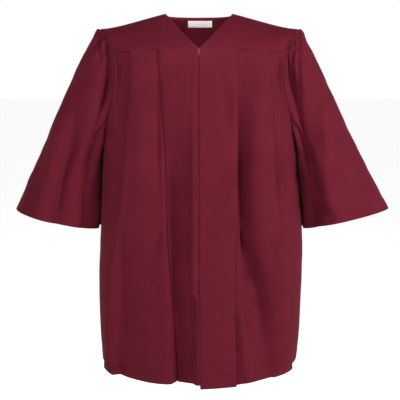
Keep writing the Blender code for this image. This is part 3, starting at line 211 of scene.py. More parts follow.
# Creases: a smooth path of points (x, z) that runs down or to the right, its half width on the -X
# or upper side and on the +X or lower side, its height (negative for a trough), the share of the
# height at its two ends, and how sharp its crest is (2 is soft, 1 is a sharp line).
# Columns: piece, path, before, after, height, start, end, crest
CREASE_ROWS = (
    ("front_right", ((0.0795, -0.110), (0.0800, -0.200), (0.0810, -0.330), (0.0870, -0.440),
                    (0.0990, -0.510)),
     0.0045, 0.023, -0.0300, 0.1, 0.5, 1.8),
    ("front_right", ((0.100, -0.470), (0.118, -0.540), (0.130, -0.610), (0.146, -0.690)),
     0.038, 0.022, -0.0300, 0.4, 0.5, 2.0),
    ("front_right", ((0.084, -0.540), (0.089, -0.620), (0.094, -0.700)),
     0.009, 0.018, 0.0090, 0.2, 0.8, 2.0),
    ("front_right", ((0.040, -0.100), (0.052, -0.180), (0.058, -0.260)),
     0.012, 0.018, -0.0090, 0.3, 0.0, 2.0),
    ("front_right", ((0.030, -0.540), (0.050, -0.548), (0.071, -0.556)),
     0.005, 0.005, 0.0016, 0.0, 0.8, 2.0),
    ("front_right", ((0.016, -0.566), (0.045, -0.578), (0.071, -0.598)),
     0.006, 0.004, -0.0038, 0.3, 1.0, 1.6),
    ("front_right", ((0.028, -0.612), (0.050, -0.615), (0.072, -0.624)),
     0.005, 0.004, -0.0028, 0.2, 1.0, 1.6),
    ("front_right", ((0.016, -0.650), (0.045, -0.650), (0.078, -0.656)),
     0.005, 0.004, -0.0036, 0.4, 1.0, 1.6),
    ("front_right", ((0.016, -0.694), (0.045, -0.701), (0.072, -0.716)),
     0.005, 0.004, -0.0028, 0.4, 0.8, 1.6),
    ("front_right", ((0.154, -0.078), (0.162, -0.095), (0.167, -0.116), (0.170, -0.150), (0.172, -0.210)),
     0.010, 0.012, -0.0120, 0.3, 0.4, 2.0),
    ("front_right", ((0.1365, -0.074), (0.1405, -0.150), (0.1440, -0.220), (0.1475, -0.300)),
     0.014, 0.004, 0.0030, 0.5, 0.2, 1.4),
    ("front_right", ((0.160, -0.270), (0.165, -0.310), (0.170, -0.350), (0.178, -0.410)),
     0.012, 0.022, -0.0200, 0.2, 0.3, 2.0),
    ("front_right", ((0.162, -0.430), (0.166, -0.490), (0.172, -0.560)),
     0.014, 0.014, 0.0050, 0.1, 0.3, 2.0),
    ("front_right", ((0.150, -0.100), (0.156, -0.130), (0.160, -0.180)),
     0.004, 0.006, -0.0060, 0.3, 0.2, 1.8),
    ("front_right", ((0.152, -0.190), (0.156, -0.260), (0.160, -0.340)),
     0.010, 0.014, -0.0030, 0.1, 0.1, 2.0),
    ("front_right", ((0.155, -0.400), (0.160, -0.460), (0.170, -0.540)),
     0.012, 0.016, 0.0045, 0.1, 0.6, 2.0),
    ("front_right", ((0.120, -0.110), (0.114, -0.200), (0.108, -0.310)),
     0.011, 0.010, 0.0024, 0.2, 0.2, 2.0),
    ("front_left", ((-0.0790, -0.105), (-0.0830, -0.190), (-0.0810, -0.300), (-0.0770, -0.420)),
     0.018, 0.0090, -0.0140, 0.1, 0.2, 1.8),
    ("front_left", ((-0.0745, -0.110), (-0.0690, -0.200), (-0.0625, -0.300), (-0.0570, -0.400),
                    (-0.0520, -0.500),
                    (-0.0475, -0.600), (-0.0445, -0.730)),
     0.0070, 0.044, -0.0300, 0.1, 1.0, 1.8),
    ("front_left", ((-0.073, -0.405), (-0.086, -0.440), (-0.102, -0.478)),
     0.008, 0.011, -0.0050, 0.2, 0.2, 2.0),
    ("front_left", ((-0.070, -0.522), (-0.088, -0.534), (-0.112, -0.556)),
     0.008, 0.010, -0.0044, 0.4, 0.2, 2.0),
    ("front_left", ((-0.048, -0.574), (-0.072, -0.586), (-0.102, -0.604)),
     0.008, 0.010, -0.0040, 0.4, 0.2, 2.0),
    ("front_left", ((-0.060, -0.655), (-0.080, -0.668), (-0.104, -0.680)),
     0.008, 0.009, -0.0034, 0.4, 0.2, 2.0),
    ("front_left", ((-0.1335, -0.085), (-0.1410, -0.170), (-0.1500, -0.270), (-0.1610, -0.390)),
     0.014, 0.004, -0.0090, 0.4, 0.3, 2.0),
    ("front_left", ((-0.104, -0.120), (-0.108, -0.230), (-0.112, -0.330)),
     0.012, 0.014, 0.0026, 0.1, 0.1, 2.0),
    ("front_left", ((-0.150, -0.400), (-0.164, -0.540), (-0.172, -0.690)),
     0.010, 0.080, -0.0200, 0.2, 1.0, 2.0),
    ("front_left", ((-0.168, -0.085), (-0.164, -0.120), (-0.166, -0.170)),
     0.006, 0.010, -0.0120, 0.6, 0.3, 2.0),
    ("back", ((-0.020, -0.150), (-0.030, -0.330), (-0.026, -0.520), (-0.018, -0.715)),
     0.014, 0.018, -0.0085, 0.1, 1.0, 2.0),
    ("back", ((0.028, -0.260), (0.032, -0.420), (0.026, -0.560), (0.034, -0.715)),
     0.016, 0.012, -0.0075, 0.0, 1.0, 2.0),
    ("back", ((0.085, -0.170), (0.092, -0.340), (0.104, -0.520), (0.118, -0.690)),
     0.010, 0.014, -0.0105, 0.1, 0.6, 2.0),
    ("back", ((-0.088, -0.210), (-0.094, -0.380), (-0.108, -0.560), (-0.112, -0.700)),
     0.013, 0.010, -0.0100, 0.1, 0.6, 2.0),
    ("back", ((-0.150, -0.150), (-0.160, -0.270), (-0.176, -0.420)),
     0.012, 0.009, -0.0050, 0.2, 0.2, 2.0),
    ("back", ((0.148, -0.140), (0.160, -0.290), (0.178, -0.460)), 0.010, 0.012, -0.0052, 0.2, 0.2, 2.0),
    ("back", ((0.060, -0.120), (0.072, -0.220), (0.066, -0.330)), 0.012, 0.014, 0.0030, 0.1, 0.1, 2.0),
    ("back", ((-0.066, -0.480), (-0.086, -0.505), (-0.112, -0.520)),
     0.009, 0.009, -0.0036, 0.3, 0.2, 2.0),
    ("back", ((0.062, -0.575), (0.084, -0.592), (0.108, -0.600)), 0.009, 0.008, -0.0034, 0.4, 0.2, 2.0),
    ("yoke_front_left", ((-0.150, -0.060), (-0.159, -0.068), (-0.166, -0.076)),
     0.003, 0.004, -0.0018, 0.1, 1.0, 2.0),
    ("yoke_front_left", ((-0.118, -0.020), (-0.124, -0.044), (-0.128, -0.070)),
     0.012, 0.014, -0.0016, 0.2, 0.5, 2.0),
    ("yoke_front_right", ((0.134, -0.024), (0.142, -0.044), (0.146, -0.070)),
     0.012, 0.010, -0.0015, 0.3, 0.7, 2.0),
    ("yoke_front_right", ((0.060, -0.020), (0.048, -0.044), (0.036, -0.064)),
     0.008, 0.010, 0.0012, 0.2, 0.3, 2.0),
    ("yoke_back", ((-0.080, -0.030), (-0.088, -0.060), (-0.092, -0.094)),
     0.014, 0.014, -0.0018, 0.3, 0.6, 2.0),
    ("yoke_back", ((0.080, -0.035), (0.090, -0.064), (0.092, -0.094)),
     0.014, 0.014, -0.0016, 0.3, 0.6, 2.0),
    ("sleeve_left", ((-0.186, -0.190), (-0.192, -0.260), (-0.197, -0.340), (-0.203, -0.420)),
     0.024, 0.030, -0.0210, 0.1, 1.0, 2.3),
    ("sleeve_left", ((-0.240, -0.150), (-0.258, -0.240), (-0.276, -0.330), (-0.284, -0.420)),
     0.014, 0.056, -0.0330, 0.1, 1.0, 1.5),
    ("sleeve_left", ((-0.300, -0.230), (-0.318, -0.310), (-0.334, -0.385)),
     0.012, 0.010, -0.0044, 0.1, 0.8, 2.0),
    ("sleeve_right", ((0.198, -0.150), (0.203, -0.210), (0.205, -0.290), (0.206, -0.360),
                    (0.206, -0.420)),
     0.030, 0.034, -0.0180, 0.1, 1.0, 2.2),
    ("sleeve_right", ((0.236, -0.200), (0.241, -0.290), (0.244, -0.400)),
     0.016, 0.018, 0.0050, 0.1, 0.8, 2.0),
    ("sleeve_right", ((0.176, -0.080), (0.181, -0.120), (0.189, -0.165), (0.196, -0.225)),
     0.010, 0.011, -0.0240, 0.4, 0.3, 1.8),
    ("sleeve_right", ((0.183, -0.038), (0.177, -0.075), (0.178, -0.115), (0.181, -0.150)),
     0.003, 0.0035, -0.0080, 0.7, 0.1, 1.8),
    ("sleeve_right", ((0.190, -0.034), (0.187, -0.070), (0.187, -0.115), (0.191, -0.160)),
     0.0035, 0.0035, -0.0100, 0.7, 0.1, 1.8),
    ("sleeve_right", ((0.197, -0.032), (0.196, -0.070), (0.197, -0.115), (0.200, -0.165)),
     0.0035, 0.0040, -0.0080, 0.7, 0.1, 1.8),
    ("sleeve_left", ((-0.175, -0.080), (-0.177, -0.130), (-0.184, -0.190), (-0.190, -0.240)),
     0.012, 0.006, -0.0270, 0.3, 0.3, 1.8),
    ("sleeve_left", ((-0.193, -0.032), (-0.195, -0.062), (-0.194, -0.100)),
     0.004, 0.0035, -0.0090, 0.8, 0.1, 1.8),
    ("sleeve_left", ((-0.183, -0.042), (-0.180, -0.070), (-0.178, -0.105)),
     0.0035, 0.0035, -0.0100, 0.8, 0.1, 1.8),
    ("sleeve_right", ((0.238, -0.120), (0.249, -0.230), (0.256, -0.345)),
     0.009, 0.014, 0.0060, 0.1, 0.2, 2.0),
    ("sleeve_right", ((0.222, -0.350), (0.242, -0.378), (0.262, -0.400)),
     0.009, 0.012, -0.0080, 0.6, 0.5, 2.0),
    ("sleeve_right", ((0.290, -0.190), (0.306, -0.280), (0.322, -0.370)),
     0.010, 0.012, -0.0036, 0.1, 0.7, 2.0),
)
PATH_SAMPLES = 40

# Slow unevenness of the cloth. Columns: wavelength, direction, height, phase
WAVE_ROWS = (
    (0.083, 12.0, 0.00042, 0.4),
    (0.061, 68.0, 0.00030, 2.1),
    (0.047, 131.0, 0.00026, 4.0),
    (0.034, 39.0, 0.00016, 1.2),
    (0.029, 98.0, 0.00014, 5.1),
)

# Zip opening, label and tapes, as in the solids
TAPE_THICKNESS = 0.0008
LABEL_WIDTH = 0.0490
LABEL_HEIGHT = 0.0140
LABEL_TOP = 0.0068
LABEL_CENTRE_X = 0.0020
LABEL_THICKNESS = 0.0010
ZIP_TAPE_INNER = 0.0027
ZIP_TAPE_OUTER = 0.0130
TEETH_INWARD = 0.0015
TEETH_ENDS = (0.0030, 0.0035)
TOOTH_SIDES = 8
TOOTH_DEPTH = 1.15
TOOTH_ROWS = (
    (-0.0021, 0.00030),
    (-0.0019, 0.00036),
    (-0.0004, 0.00034),
    (0.0001, 0.00046),
    (0.0005, 0.00044),
    (0.0007, 0.00024),
)
SLIDER_Z = -0.0702
SEAM_GAP = 0.0003

# Seams and stitching
SEAM_LAP = 0.0010
SEAM_DIP = 0.0009
SEAM_DIP_RUN = 0.004
SKIN_GAP = 0.0001
PLACKET_RISE = 0.0007
PLACKET_STITCH_COLUMN = 9
STITCH_PITCH = 1.22
STITCH_STATIONS = 5
STITCH_SIDES = 6
PLACKET_STEPS = (0.0002, 0.0006, 0.0012, 0.0020, 0.0032, 0.0048, 0.0066, 0.0084, 0.0100, 0.0112, 0.0120,
                 0.0126, 0.0132, 0.0140, 0.0152, 0.0170)

# Camera: where it stands, what it looks at and its lens on a 36 mm sensor
CAMERA_EYE = (0.00203, -2.17859, -0.06612)
CAMERA_AIM = (0.00203, 0.0, -0.3723)
CAMERA_LENS = 97.54

FLOOR_Z = -1.00
FLOOR_RINGS = (0.0001, 2.0, 6.0, 18.0)
FLOOR_SIDES = 64

# Area lights. Columns: name, place, aim, size, power in watts, spread in degrees
LIGHTS = (
    ("key", (1.25, -0.95, 0.15), (0.0, 0.0, -0.35), 0.35, 28.0, 180.0),
    ("front", (-0.45, -1.45, 0.42), (0.0, 0.0, -0.25), 0.35, 14.0, 180.0),
    ("fill", (-1.70, -0.55, 0.45), (0.0, 0.0, -0.15), 0.4, 6.0, 180.0),
    ("neck", (0.0, -1.70, 0.12), (0.0, 0.05, -0.008), 0.1, 0.033, 7.0),
    ("top", (0.0, -0.8, 1.1), (0.0, 0.0, -0.05), 0.4, 4.5, 180.0),
)

# Rows of the grids down each piece: spans of shares of the way down, with a count of rows in each
FRONT_ROW_SPANS = ((0.0, 0.03, 9), (0.03, 0.955, 124), (0.955, 1.0, 18))
BACK_ROW_SPANS = ((0.0, 0.03, 8), (0.03, 0.955, 100), (0.955, 1.0, 14))
SLEEVE_ROW_SPANS = ((0.0, 0.05, 12), (0.05, 0.93, 66), (0.93, 1.0, 16))
YOKE_ROWS = 44
YOKE_ROW_CROWDING = 1.25
FRONT_YOKE_COLUMNS = 70

# Creases fade out towards the yoke seam and the side seam, troughs later than ridges
SEAM_FADE = 0.03
RIDGE_FADE = 0.030
FRONT_TROUGH_FADE = 0.009
BACK_TROUGH_FADE = 0.014
YOKE_CREASE_SHARE = 0.8
YOKE_EDGE = 0.975

# Where the yoke's creases are full, and where its lower edge starts to rise and has risen over the
# panel, as shares of the way down
FRONT_YOKE_LAP = (0.12, 0.86, 0.10)
BACK_YOKE_LAP = (0.15, 0.88, 0.09)

# Woven finishes. Columns: colour, roughness, size of the weave, size of the mottling, sheen
WOVEN_FINISHES = {
    # Dull woven polyester: an even deep maroon that only brightens where it faces the light
    "matte_polyester_weave": ("cloth", 0.80, 0.0009, 0.045, 0.08),
    # Spun thread of the cloth's colour: stitches that show only by their relief
    "polyester_sewing_thread": ("thread", 0.6, 0.0003, 0.02, 0.1),
    # Woven tape, a little darker than the cloth: a narrow band with a ribbed face
    "polyester_twill_tape": ("tape", 0.78, 0.0008, 0.02, 0.05),
    # Moulded nylon coil: the cloth's colour with a smoother face, a faint glint in the zip line
    "nylon_zip_coil": ("tape", 0.42, 0.0006, 0.01, 0.0),
    # Satin-woven label: plain bright white with a soft gloss
    "white_satin_label": ("label", 0.45, 0.0005, 0.02, 0.1),
}
LACQUER_ROUGHNESS = 0.42


def hex_to_linear(code):
    """Linear red, green and blue of an sRGB hex value."""
    parts = np.array([int(code[place:place + 2], 16) for place in (1, 3, 5)]) / 255.0
    linear = np.where(parts <= 0.04045, parts / 12.92, ((parts + 0.055) / 1.055) ** 2.4)
    return tuple(float(value) for value in linear)


class GownSizes(bpy.types.PropertyGroup):
    """Sizes of the cloth and its sewing."""
    cloth: bpy.props.FloatProperty(
        name="Cloth", description="Thickness of the cloth wall", default=0.0011, unit="LENGTH")
    hem: bpy.props.FloatProperty(
        name="Hem", description="Height of the folded hem at the bottom and the cuffs", default=0.0200,
        unit="LENGTH")
    placket: bpy.props.FloatProperty(
        name="Placket", description="Zip edge to its topstitching", default=0.0126, unit="LENGTH")
    stitch: bpy.props.FloatProperty(
        name="Stitch", description="Length of one stitch", default=0.0026, unit="LENGTH")
    thread: bpy.props.FloatProperty(
        name="Thread", description="Thickness of the sewing thread", default=0.00042, unit="LENGTH")
    tooth_pitch: bpy.props.FloatProperty(
        name="Tooth pitch", description="Distance from one zip tooth to the next", default=0.0016, unit="LENGTH")


class GownColours(bpy.types.PropertyGroup):
    """Colours of the cloth, tapes, label and metal."""
    cloth: bpy.props.FloatVectorProperty(
        name="Cloth", description="Maroon polyester", subtype="COLOR", default=hex_to_linear("#4E111D"))
    thread: bpy.props.FloatVectorProperty(
        name="Thread", description="Maroon sewing thread", subtype="COLOR", default=hex_to_linear("#6A1C29"))
    tape: bpy.props.FloatVectorProperty(
        name="Tape", description="Neck and zip tape", subtype="COLOR", default=hex_to_linear("#5E1A26"))
    label: bpy.props.FloatVectorProperty(
        name="Label", description="Woven label", subtype="COLOR", default=hex_to_linear("#F2F1EE"))
    metal: bpy.props.FloatVectorProperty(
        name="Metal", description="Lacquer of the slider, tab and stop", subtype="COLOR",
        default=hex_to_linear("#4A1622"))


def ease(share):
    """Smooth step from 0 to 1, flat at both ends."""
    share = np.clip(share, 0.0, 1.0)
    return share * share * (3.0 - 2.0 * share)


def smooth_curve(keys, values, places):
    """Cubic curve through a table, its slope at each row taken from the rows on either side."""
    keys = np.asarray(keys, float)
    values = np.asarray(values, float)
    if keys[0] > keys[-1]:
        keys = keys[::-1]
        values = values[::-1]
    slopes = np.gradient(values, keys)
    places = np.clip(places, keys[0], keys[-1])
    index = np.clip(np.searchsorted(keys, places) - 1, 0, len(keys) - 2)
    step = keys[index + 1] - keys[index]
    t = (places - keys[index]) / step
    start = (1 + 2 * t) * (1 - t) ** 2 * values[index]
    end = t * t * (3 - 2 * t) * values[index + 1]
    return start + end + step * (t * (1 - t) ** 2 * slopes[index] + t * t * (t - 1) * slopes[index + 1])


def from_table(rows, columns, column, places):
    """One named column of a table, read smoothly at places along its first column."""
    keys = [row[0] for row in rows]
    values = [row[columns.index(column)] for row in rows]
    return smooth_curve(keys, values, places)


def rowwise(places, keys, values):
    """Reads one table a row, all at once: each row is moved along by its own number, then joined."""
    span = 10.0
    shift = span * np.arange(len(keys))[:, None]
    return np.interp(places + shift, (keys + shift).ravel(), values.ravel())


def side_name(side):
    """The side's word in the names of pieces."""
    return "left" if side < 0 else "right"


def side_height(fraction, face):
    """Height at the side seam of a row, from the yoke seam (0) to the hem (1)."""
    top = FRONT_SEAM_SIDE_Z if face == "front" else BACK_SEAM_Z
    return top + (HEM_SIDE_Z - top) * fraction


def fraction_at_side(height, face):
    """The row that meets the side seam at a height."""
    top = FRONT_SEAM_SIDE_Z if face == "front" else BACK_SEAM_Z
    return (height - top) / (HEM_SIDE_Z - top)


def fraction_at_centre(height):
    """The front row that meets the zip at a height."""
    return (height - FRONT_SEAM_CENTRE_Z) / (HEM_CENTRE_Z - FRONT_SEAM_CENTRE_Z)


def centre_height(fraction, face):
    """Height at the middle of a panel of a row."""
    if face == "front":
        return FRONT_SEAM_CENTRE_Z + (HEM_CENTRE_Z - FRONT_SEAM_CENTRE_Z) * fraction
    return BACK_SEAM_Z + (BACK_HEM_CENTRE_Z - BACK_SEAM_Z) * fraction


def row_heights(side, face, fraction, share):
    """Heights along a row: the yoke seam and the hem both bend with the share of the way round."""
    if face == "front":
        top = FRONT_SEAM_CENTRE_Z + (FRONT_SEAM_SIDE_Z - FRONT_SEAM_CENTRE_Z) * share ** 2
        hem = HEM_CENTRE_Z + (HEM_SIDE_Z - HEM_CENTRE_Z) * share ** HEM_BEND[side]
    else:
        top = BACK_SEAM_Z
        hem = BACK_HEM_CENTRE_Z + (HEM_SIDE_Z - BACK_HEM_CENTRE_Z) * share ** HEM_BEND[side]
    heights = top + (hem - top) * fraction
    if face == "front" and side < 0:
        below_zip = ease((fraction - fraction_at_centre(LAP_FULL_Z)) / (1 - fraction_at_centre(LAP_FULL_Z)))
        heights = heights + LEFT_HEM_RISE * below_zip * (1 - share) ** HEM_BEND[side]
    return heights


class Rows:
    """Level half rows round the body, from the centre line to the side seam or armhole.

    Each is x = W sin(a)^(2/n), y = -D cos(a)^(2/n), read by its arc length, and runs on straight
    before its centre line. The outward normal is the gradient of |x/W|^n + |y/D|^n.
    """

    def __init__(self, side, face, fractions):
        self.side = side
        self.face = face
        self.fractions = np.asarray(fractions, float)[:, None]
        height = side_height(self.fractions, face)
        self.width = from_table(BODY_ROWS, BODY_COLUMNS, side_name(side), height)
        self.depth = from_table(BODY_ROWS, BODY_COLUMNS, face, height)
        end = np.minimum(from_table(BODY_ROWS, BODY_COLUMNS, "armhole", height), 90.0)
        end = np.where(height <= UNDERARM_Z + 1e-9, 90.0, end)
        angle = np.radians(end) * np.linspace(0.0, 1.0, SECTION_SAMPLES) ** SECTION_CROWDING
        across = self.width * np.sin(angle) ** (2 / SQUARENESS)
        outward = -self.depth * np.clip(np.cos(angle), 0.0, 1.0) ** (2 / SQUARENESS)
        step = np.hypot(np.diff(across, axis=1), np.diff(outward, axis=1))
        start = np.zeros_like(self.width)
        lead = start - 0.05
        self.arc = np.concatenate((lead, start, np.cumsum(step, axis=1)), axis=1)
        self.x = np.concatenate((lead, across), axis=1)
        self.y = np.concatenate((-self.depth, outward), axis=1)
        self.length = self.arc[:, -1:]

    def arc_at(self, across):
        """Arc lengths at distances from the middle."""
        return rowwise(across, self.x, self.arc)

    def points(self, arc, depth):
        """World points at arc lengths, moved out of the curve by depth."""
        x = rowwise(arc, self.arc, self.x)
        y = rowwise(arc, self.arc, self.y)
        nx = (np.maximum(x, 0.0) / self.width) ** (SQUARENESS - 1) / self.width
        ny = -(np.abs(y) / self.depth) ** (SQUARENESS - 1) / self.depth
        size = np.hypot(nx, ny)
        share = np.clip(arc / self.length, 0.0, 1.0)
        z = row_heights(self.side, self.face, self.fractions, share)
        x = (x + nx / size * depth) * self.side
        y = y + ny / size * depth
        if self.face == "back":
            y = -y
        return np.stack((x, y, z), axis=-1)


def crease_relief(x, z, path, before, after, height, start, end, crest):
    """Height of one crease: exp(-(d/w)^crest) of the distance d to its path, w by the side of it."""
    keys = np.linspace(0.0, 1.0, len(path))
    t = np.linspace(0.0, 1.0, PATH_SAMPLES)
    px = smooth_curve(keys, [point[0] for point in path], t)
    pz = smooth_curve(keys, [point[1] for point in path], t)
    tall = height * np.where(t < 0.5, start + (1 - start) * ease(2 * t), end + (1 - end) * ease(2 - 2 * t))
    near = np.argmin((x.ravel()[:, None] - px) ** 2 + (z.ravel()[:, None] - pz) ** 2, axis=1)
    tx = np.gradient(px)[near]
    tz = np.gradient(pz)[near]
    dx = x.ravel() - px[near]
    dz = z.ravel() - pz[near]
    along = (dx * tx + dz * tz) / (tx * tx + tz * tz)
    along = np.clip(along, np.where(near > 0, -1.0, 0.0), np.where(near < PATH_SAMPLES - 1, 1.0, 0.0))
    dx = dx - along * tx
    dz = dz - along * tz
    width = np.where(tx * dz - tz * dx < 0, before, after)
    far = np.hypot(dx, dz) / width
    return (np.interp(near + along, np.arange(PATH_SAMPLES), tall) * np.exp(-far ** crest)).reshape(x.shape)


def relief(piece, x, z, facing=1.0):
    """Creases of a piece at plan places (x, z), and the slow unevenness of its cloth."""
    total = np.zeros_like(x)
    for row in CREASE_ROWS:
        if row[0] == piece:
            total = total + crease_relief(x, z, *row[1:]) * facing
    for length, direction, height, phase in WAVE_ROWS:
        angle = np.radians(direction)
        total = total + height * np.sin(2 * np.pi / length * (x * np.cos(angle) + z * np.sin(angle)) + phase)
    return total


def run_share(columns, first):
    """Even shares of a run of columns, from its first one on."""
    return np.linspace(0.0, 1.0, columns + 1)[first:][None, :]


def armhole_dip(rows, arcs, heights):
    """How far the cloth is pressed down beside the armhole seam, above the underarm."""
    near = ease((arcs - rows.length + SEAM_DIP_RUN) / SEAM_DIP_RUN)
    return SEAM_DIP * np.where(heights > UNDERARM_Z, near, 0.0)


def pleats(table, rows, height):
    """Arc lengths of a panel's two folds, the space between their layers and how far they turn under."""
    folds = [rows.arc_at(from_table(table, PLEAT_COLUMNS, f"{side_name(rows.side)}_{place}", height))
             for place in ("inner", "outer")]
    space = from_table(table, PLEAT_COLUMNS, "space", height)
    back = from_table(table, PLEAT_COLUMNS, "back", height)
    return folds, space, back


def folded_columns(begin, length, folds, space, back, lead, runs):
    """Arc and depth of each column, row by row.

    Plain runs lead to each fold; there the cloth turns under in a half circle, runs back, turns
    again and goes on two layers deeper, and the next run brings it up to the surface again.
    """
    arcs = []
    depths = []
    level = 0.0 * space
    turn = FOLD_TURN * space
    half = np.linspace(0.0, np.pi, 9)[None, :]
    if len(lead):
        arcs.append(begin + np.asarray(lead)[None, :])
        depths.append(np.zeros_like(arcs[0]))
        begin = begin + lead[-1]
    for number, (fold, run) in enumerate(zip(folds, runs)):
        under = fold - back
        share = run_share(run, 1 if number or len(lead) else 0)
        arcs.append(begin + (under - begin) * share)
        depths.append(-level * (1 - ease(share)))
        top = run_share(5, 1)[:, :-1]
        arcs.append(under + (fold - turn - under) * top)
        depths.append(0.0 * space * top)
        arcs.append(fold - turn + turn * np.sin(half))
        depths.append(-space / 2 * (1 - np.cos(half)))
        middle = run_share(4, 1)[:, :-1]
        arcs.append(fold - turn + (under - fold + 2 * turn) * middle)
        depths.append(-space + 0.0 * middle)
        arcs.append(under + turn - turn * np.sin(half))
        depths.append(-space - space / 2 * (1 - np.cos(half)))
        low = run_share(5, 1)
        arcs.append(under + turn + (fold - under - turn) * low)
        depths.append(-2 * space + 0.0 * low)
        begin = fold
        level = 2 * space
    share = run_share(runs[-1], 1)
    arcs.append(begin + (length - begin) * share)
    depths.append(-level * (1 - ease(share)))
    return np.concatenate(arcs, axis=1), np.concatenate(depths, axis=1)


def front_edge(side, height):
    """Arc length where a front begins beside the zip, and how deep it is sunk below the zip."""
    open_top = ease((height - ZIP_GAP_CLOSED_Z) / (FRONT_SEAM_CENTRE_Z - ZIP_GAP_CLOSED_Z))
    gap = ZIP_HALF_GAP + (ZIP_TOP_HALF_GAP - ZIP_HALF_GAP) * open_top
    lap = ease((LAP_SUNK_Z - height) / (LAP_SUNK_Z - LAP_FULL_Z))
    sunk = ease((ZIP_END_Z - height) / (ZIP_END_Z - LAP_SUNK_Z))
    if side < 0:
        return gap - (LAP_WIDTH + gap) * lap, LAP_DEPTH * sunk
    return gap + (RIGHT_EDGE_SHIFT - gap) * lap, 0.0 * sunk


def front_depth(side, rows, arcs, begin, sunk, placket):
    """Depth of the front's cloth: sunk lap, raised placket, dip at the armhole and the creases."""
    flat = rows.points(arcs, 0.0 * arcs)
    from_edge = arcs - begin
    depth = -sunk * (1 - ease(np.maximum(arcs, 0.0) / LAP_BLEND))
    band = (1 - ease((from_edge - placket + 0.0008) / 0.0016)) * ease(from_edge / 0.0014)
    depth = depth + PLACKET_RISE * band
    depth = depth - armhole_dip(rows, arcs, flat[..., 2])
    away = ease((from_edge - 0.010) / 0.012)
    seam = ease(rows.fractions / SEAM_FADE)
    creases = relief(f"front_{side_name(side)}", flat[..., 0], flat[..., 2])
    creases = creases * ease((rows.length - arcs) / np.where(creases > 0, RIDGE_FADE, FRONT_TROUGH_FADE))
    return depth + creases * away * seam


def front_surface(side, fractions, placket):
    """Mid-surface of a front panel: pleated level rows with the creases laid on."""
    rows = Rows(side, "front", fractions)
    height = centre_height(rows.fractions, "front")
    begin, sunk = front_edge(side, height)
    folds, space, back = pleats(PLEAT_ROWS, rows, height)
    arcs, depths = folded_columns(begin, rows.length, folds, space, back, PLACKET_STEPS, (20, 28, 30))
    depths = depths + front_depth(side, rows, arcs, begin, sunk, placket)
    return rows.points(arcs, depths)


def back_surface(fractions):
    """Mid-surface of the back panel, from the left side seam to the right one."""
    halves = []
    for side in (-1, 1):
        rows = Rows(side, "back", fractions)
        height = centre_height(rows.fractions, "back")
        folds, space, back = pleats(BACK_PLEAT_ROWS, rows, height)
        arcs, depths = folded_columns(0.0 * back, rows.length, folds, space, back, (), (18, 24, 38))
        flat = rows.points(arcs, 0.0 * arcs)
        creases = relief("back", flat[..., 0], flat[..., 2]) * ease(rows.fractions / SEAM_FADE)
        fade = np.where(creases > 0, RIDGE_FADE, BACK_TROUGH_FADE)
        depths = depths + creases * ease((rows.length - arcs) / fade)
        depths = depths - armhole_dip(rows, arcs, flat[..., 2])
        halves.append(rows.points(arcs, depths))
    return np.concatenate((halves[0][:, ::-1], halves[1][:, 1:]), axis=1)


def ridge(across):
    """Points of the shoulder ridge at distances from the middle."""
    height = from_table(RIDGE_ROWS, RIDGE_COLUMNS, "height", across)
    return np.stack((across, np.zeros_like(across), height), axis=-1)


def handles(table, first, second, share):
    """Handle vectors blended from one named end to the other."""
    start = np.array(table[first])
    end = np.array(table[second])
    return start + (end - start) * share[:, None]


def cubic(start, leave, arrive, end, steps):
    """Points of cubic curves, a column for each start, at the given steps."""
    t = np.asarray(steps)[:, None, None]
    return ((1 - t) ** 3 * start + 3 * (1 - t) ** 2 * t * leave
            + 3 * (1 - t) * t ** 2 * arrive + t ** 3 * end)


def seam_row(face, share):
    """Points of the yoke seam at shares of the way from the middle to the armhole."""
    rows = Rows(1, face, [0.0])
    begin = ZIP_TOP_HALF_GAP if face == "front" else 0.0
    arc = begin + (rows.length - begin) * share[None, :]
    return rows.points(arc, 0.0 * arc)[0]


def front_yoke_surface(across, steps):
    """Mid-surface of the right front yoke: across runs from the V to the armhole, steps run down."""
    across = np.asarray(across, float)
    seam = seam_row("front", across)
    top = ridge(NECK_HALF_WIDTH + (RIDGE_ROWS[-1][0] - NECK_HALF_WIDTH) * across)
    leave = top + handles(FRONT_YOKE_HANDLES, "ridge_neck", "ridge_armhole", across)
    arrive = seam + handles(FRONT_YOKE_HANDLES, "seam_neck", "seam_armhole", across)
    return cubic(top, leave, arrive, seam, steps)


def neck_share():
    """Where the neck ends on the back seam, as a share of its half length."""
    rows = Rows(1, "back", [0.0])
    return float(rows.arc_at(np.array([[NECK_HALF_WIDTH]]))[0, 0] / rows.length[0, 0])


def back_yoke_surface(across, steps):
    """Mid-surface of the back yoke: from the neckline and the ridges down to the back seam."""
    across = np.asarray(across, float)
    neck = neck_share()
    size = np.abs(across)
    side = np.where(across < 0, -1.0, 1.0)
    seam = seam_row("back", size)
    past = np.clip((size - neck) / (1 - neck), 0.0, 1.0)
    shoulder = ridge(NECK_HALF_WIDTH + (RIDGE_ROWS[-1][0] - NECK_HALF_WIDTH) * past)
    round_neck = np.clip(size / neck, 0.0, 1.0)
    lift = (1 - round_neck ** NECK_SQUARENESS) ** (1 / NECK_SQUARENESS)
    neckline = np.stack((seam[:, 0], BACK_NECK_DEPTH * lift, -BACK_NECK_DROP * lift ** NECK_DROP_BEND), axis=-1)
    on_neck = (size < neck)[:, None]
    top = np.where(on_neck, neckline, shoulder)
    leave_ridge = handles(BACK_YOKE_HANDLES, "ridge_neck", "ridge_armhole", past)
    leave_neck = handles(BACK_YOKE_HANDLES, "ridge_neck", "neckline", lift)
    leave = top + np.where(on_neck, leave_neck, leave_ridge)
    arrive = seam + handles(BACK_YOKE_HANDLES, "seam_neck", "seam_armhole", size)
    grid = cubic(top, leave, arrive, seam, steps)
    grid[:, :, 0] *= side
    return grid


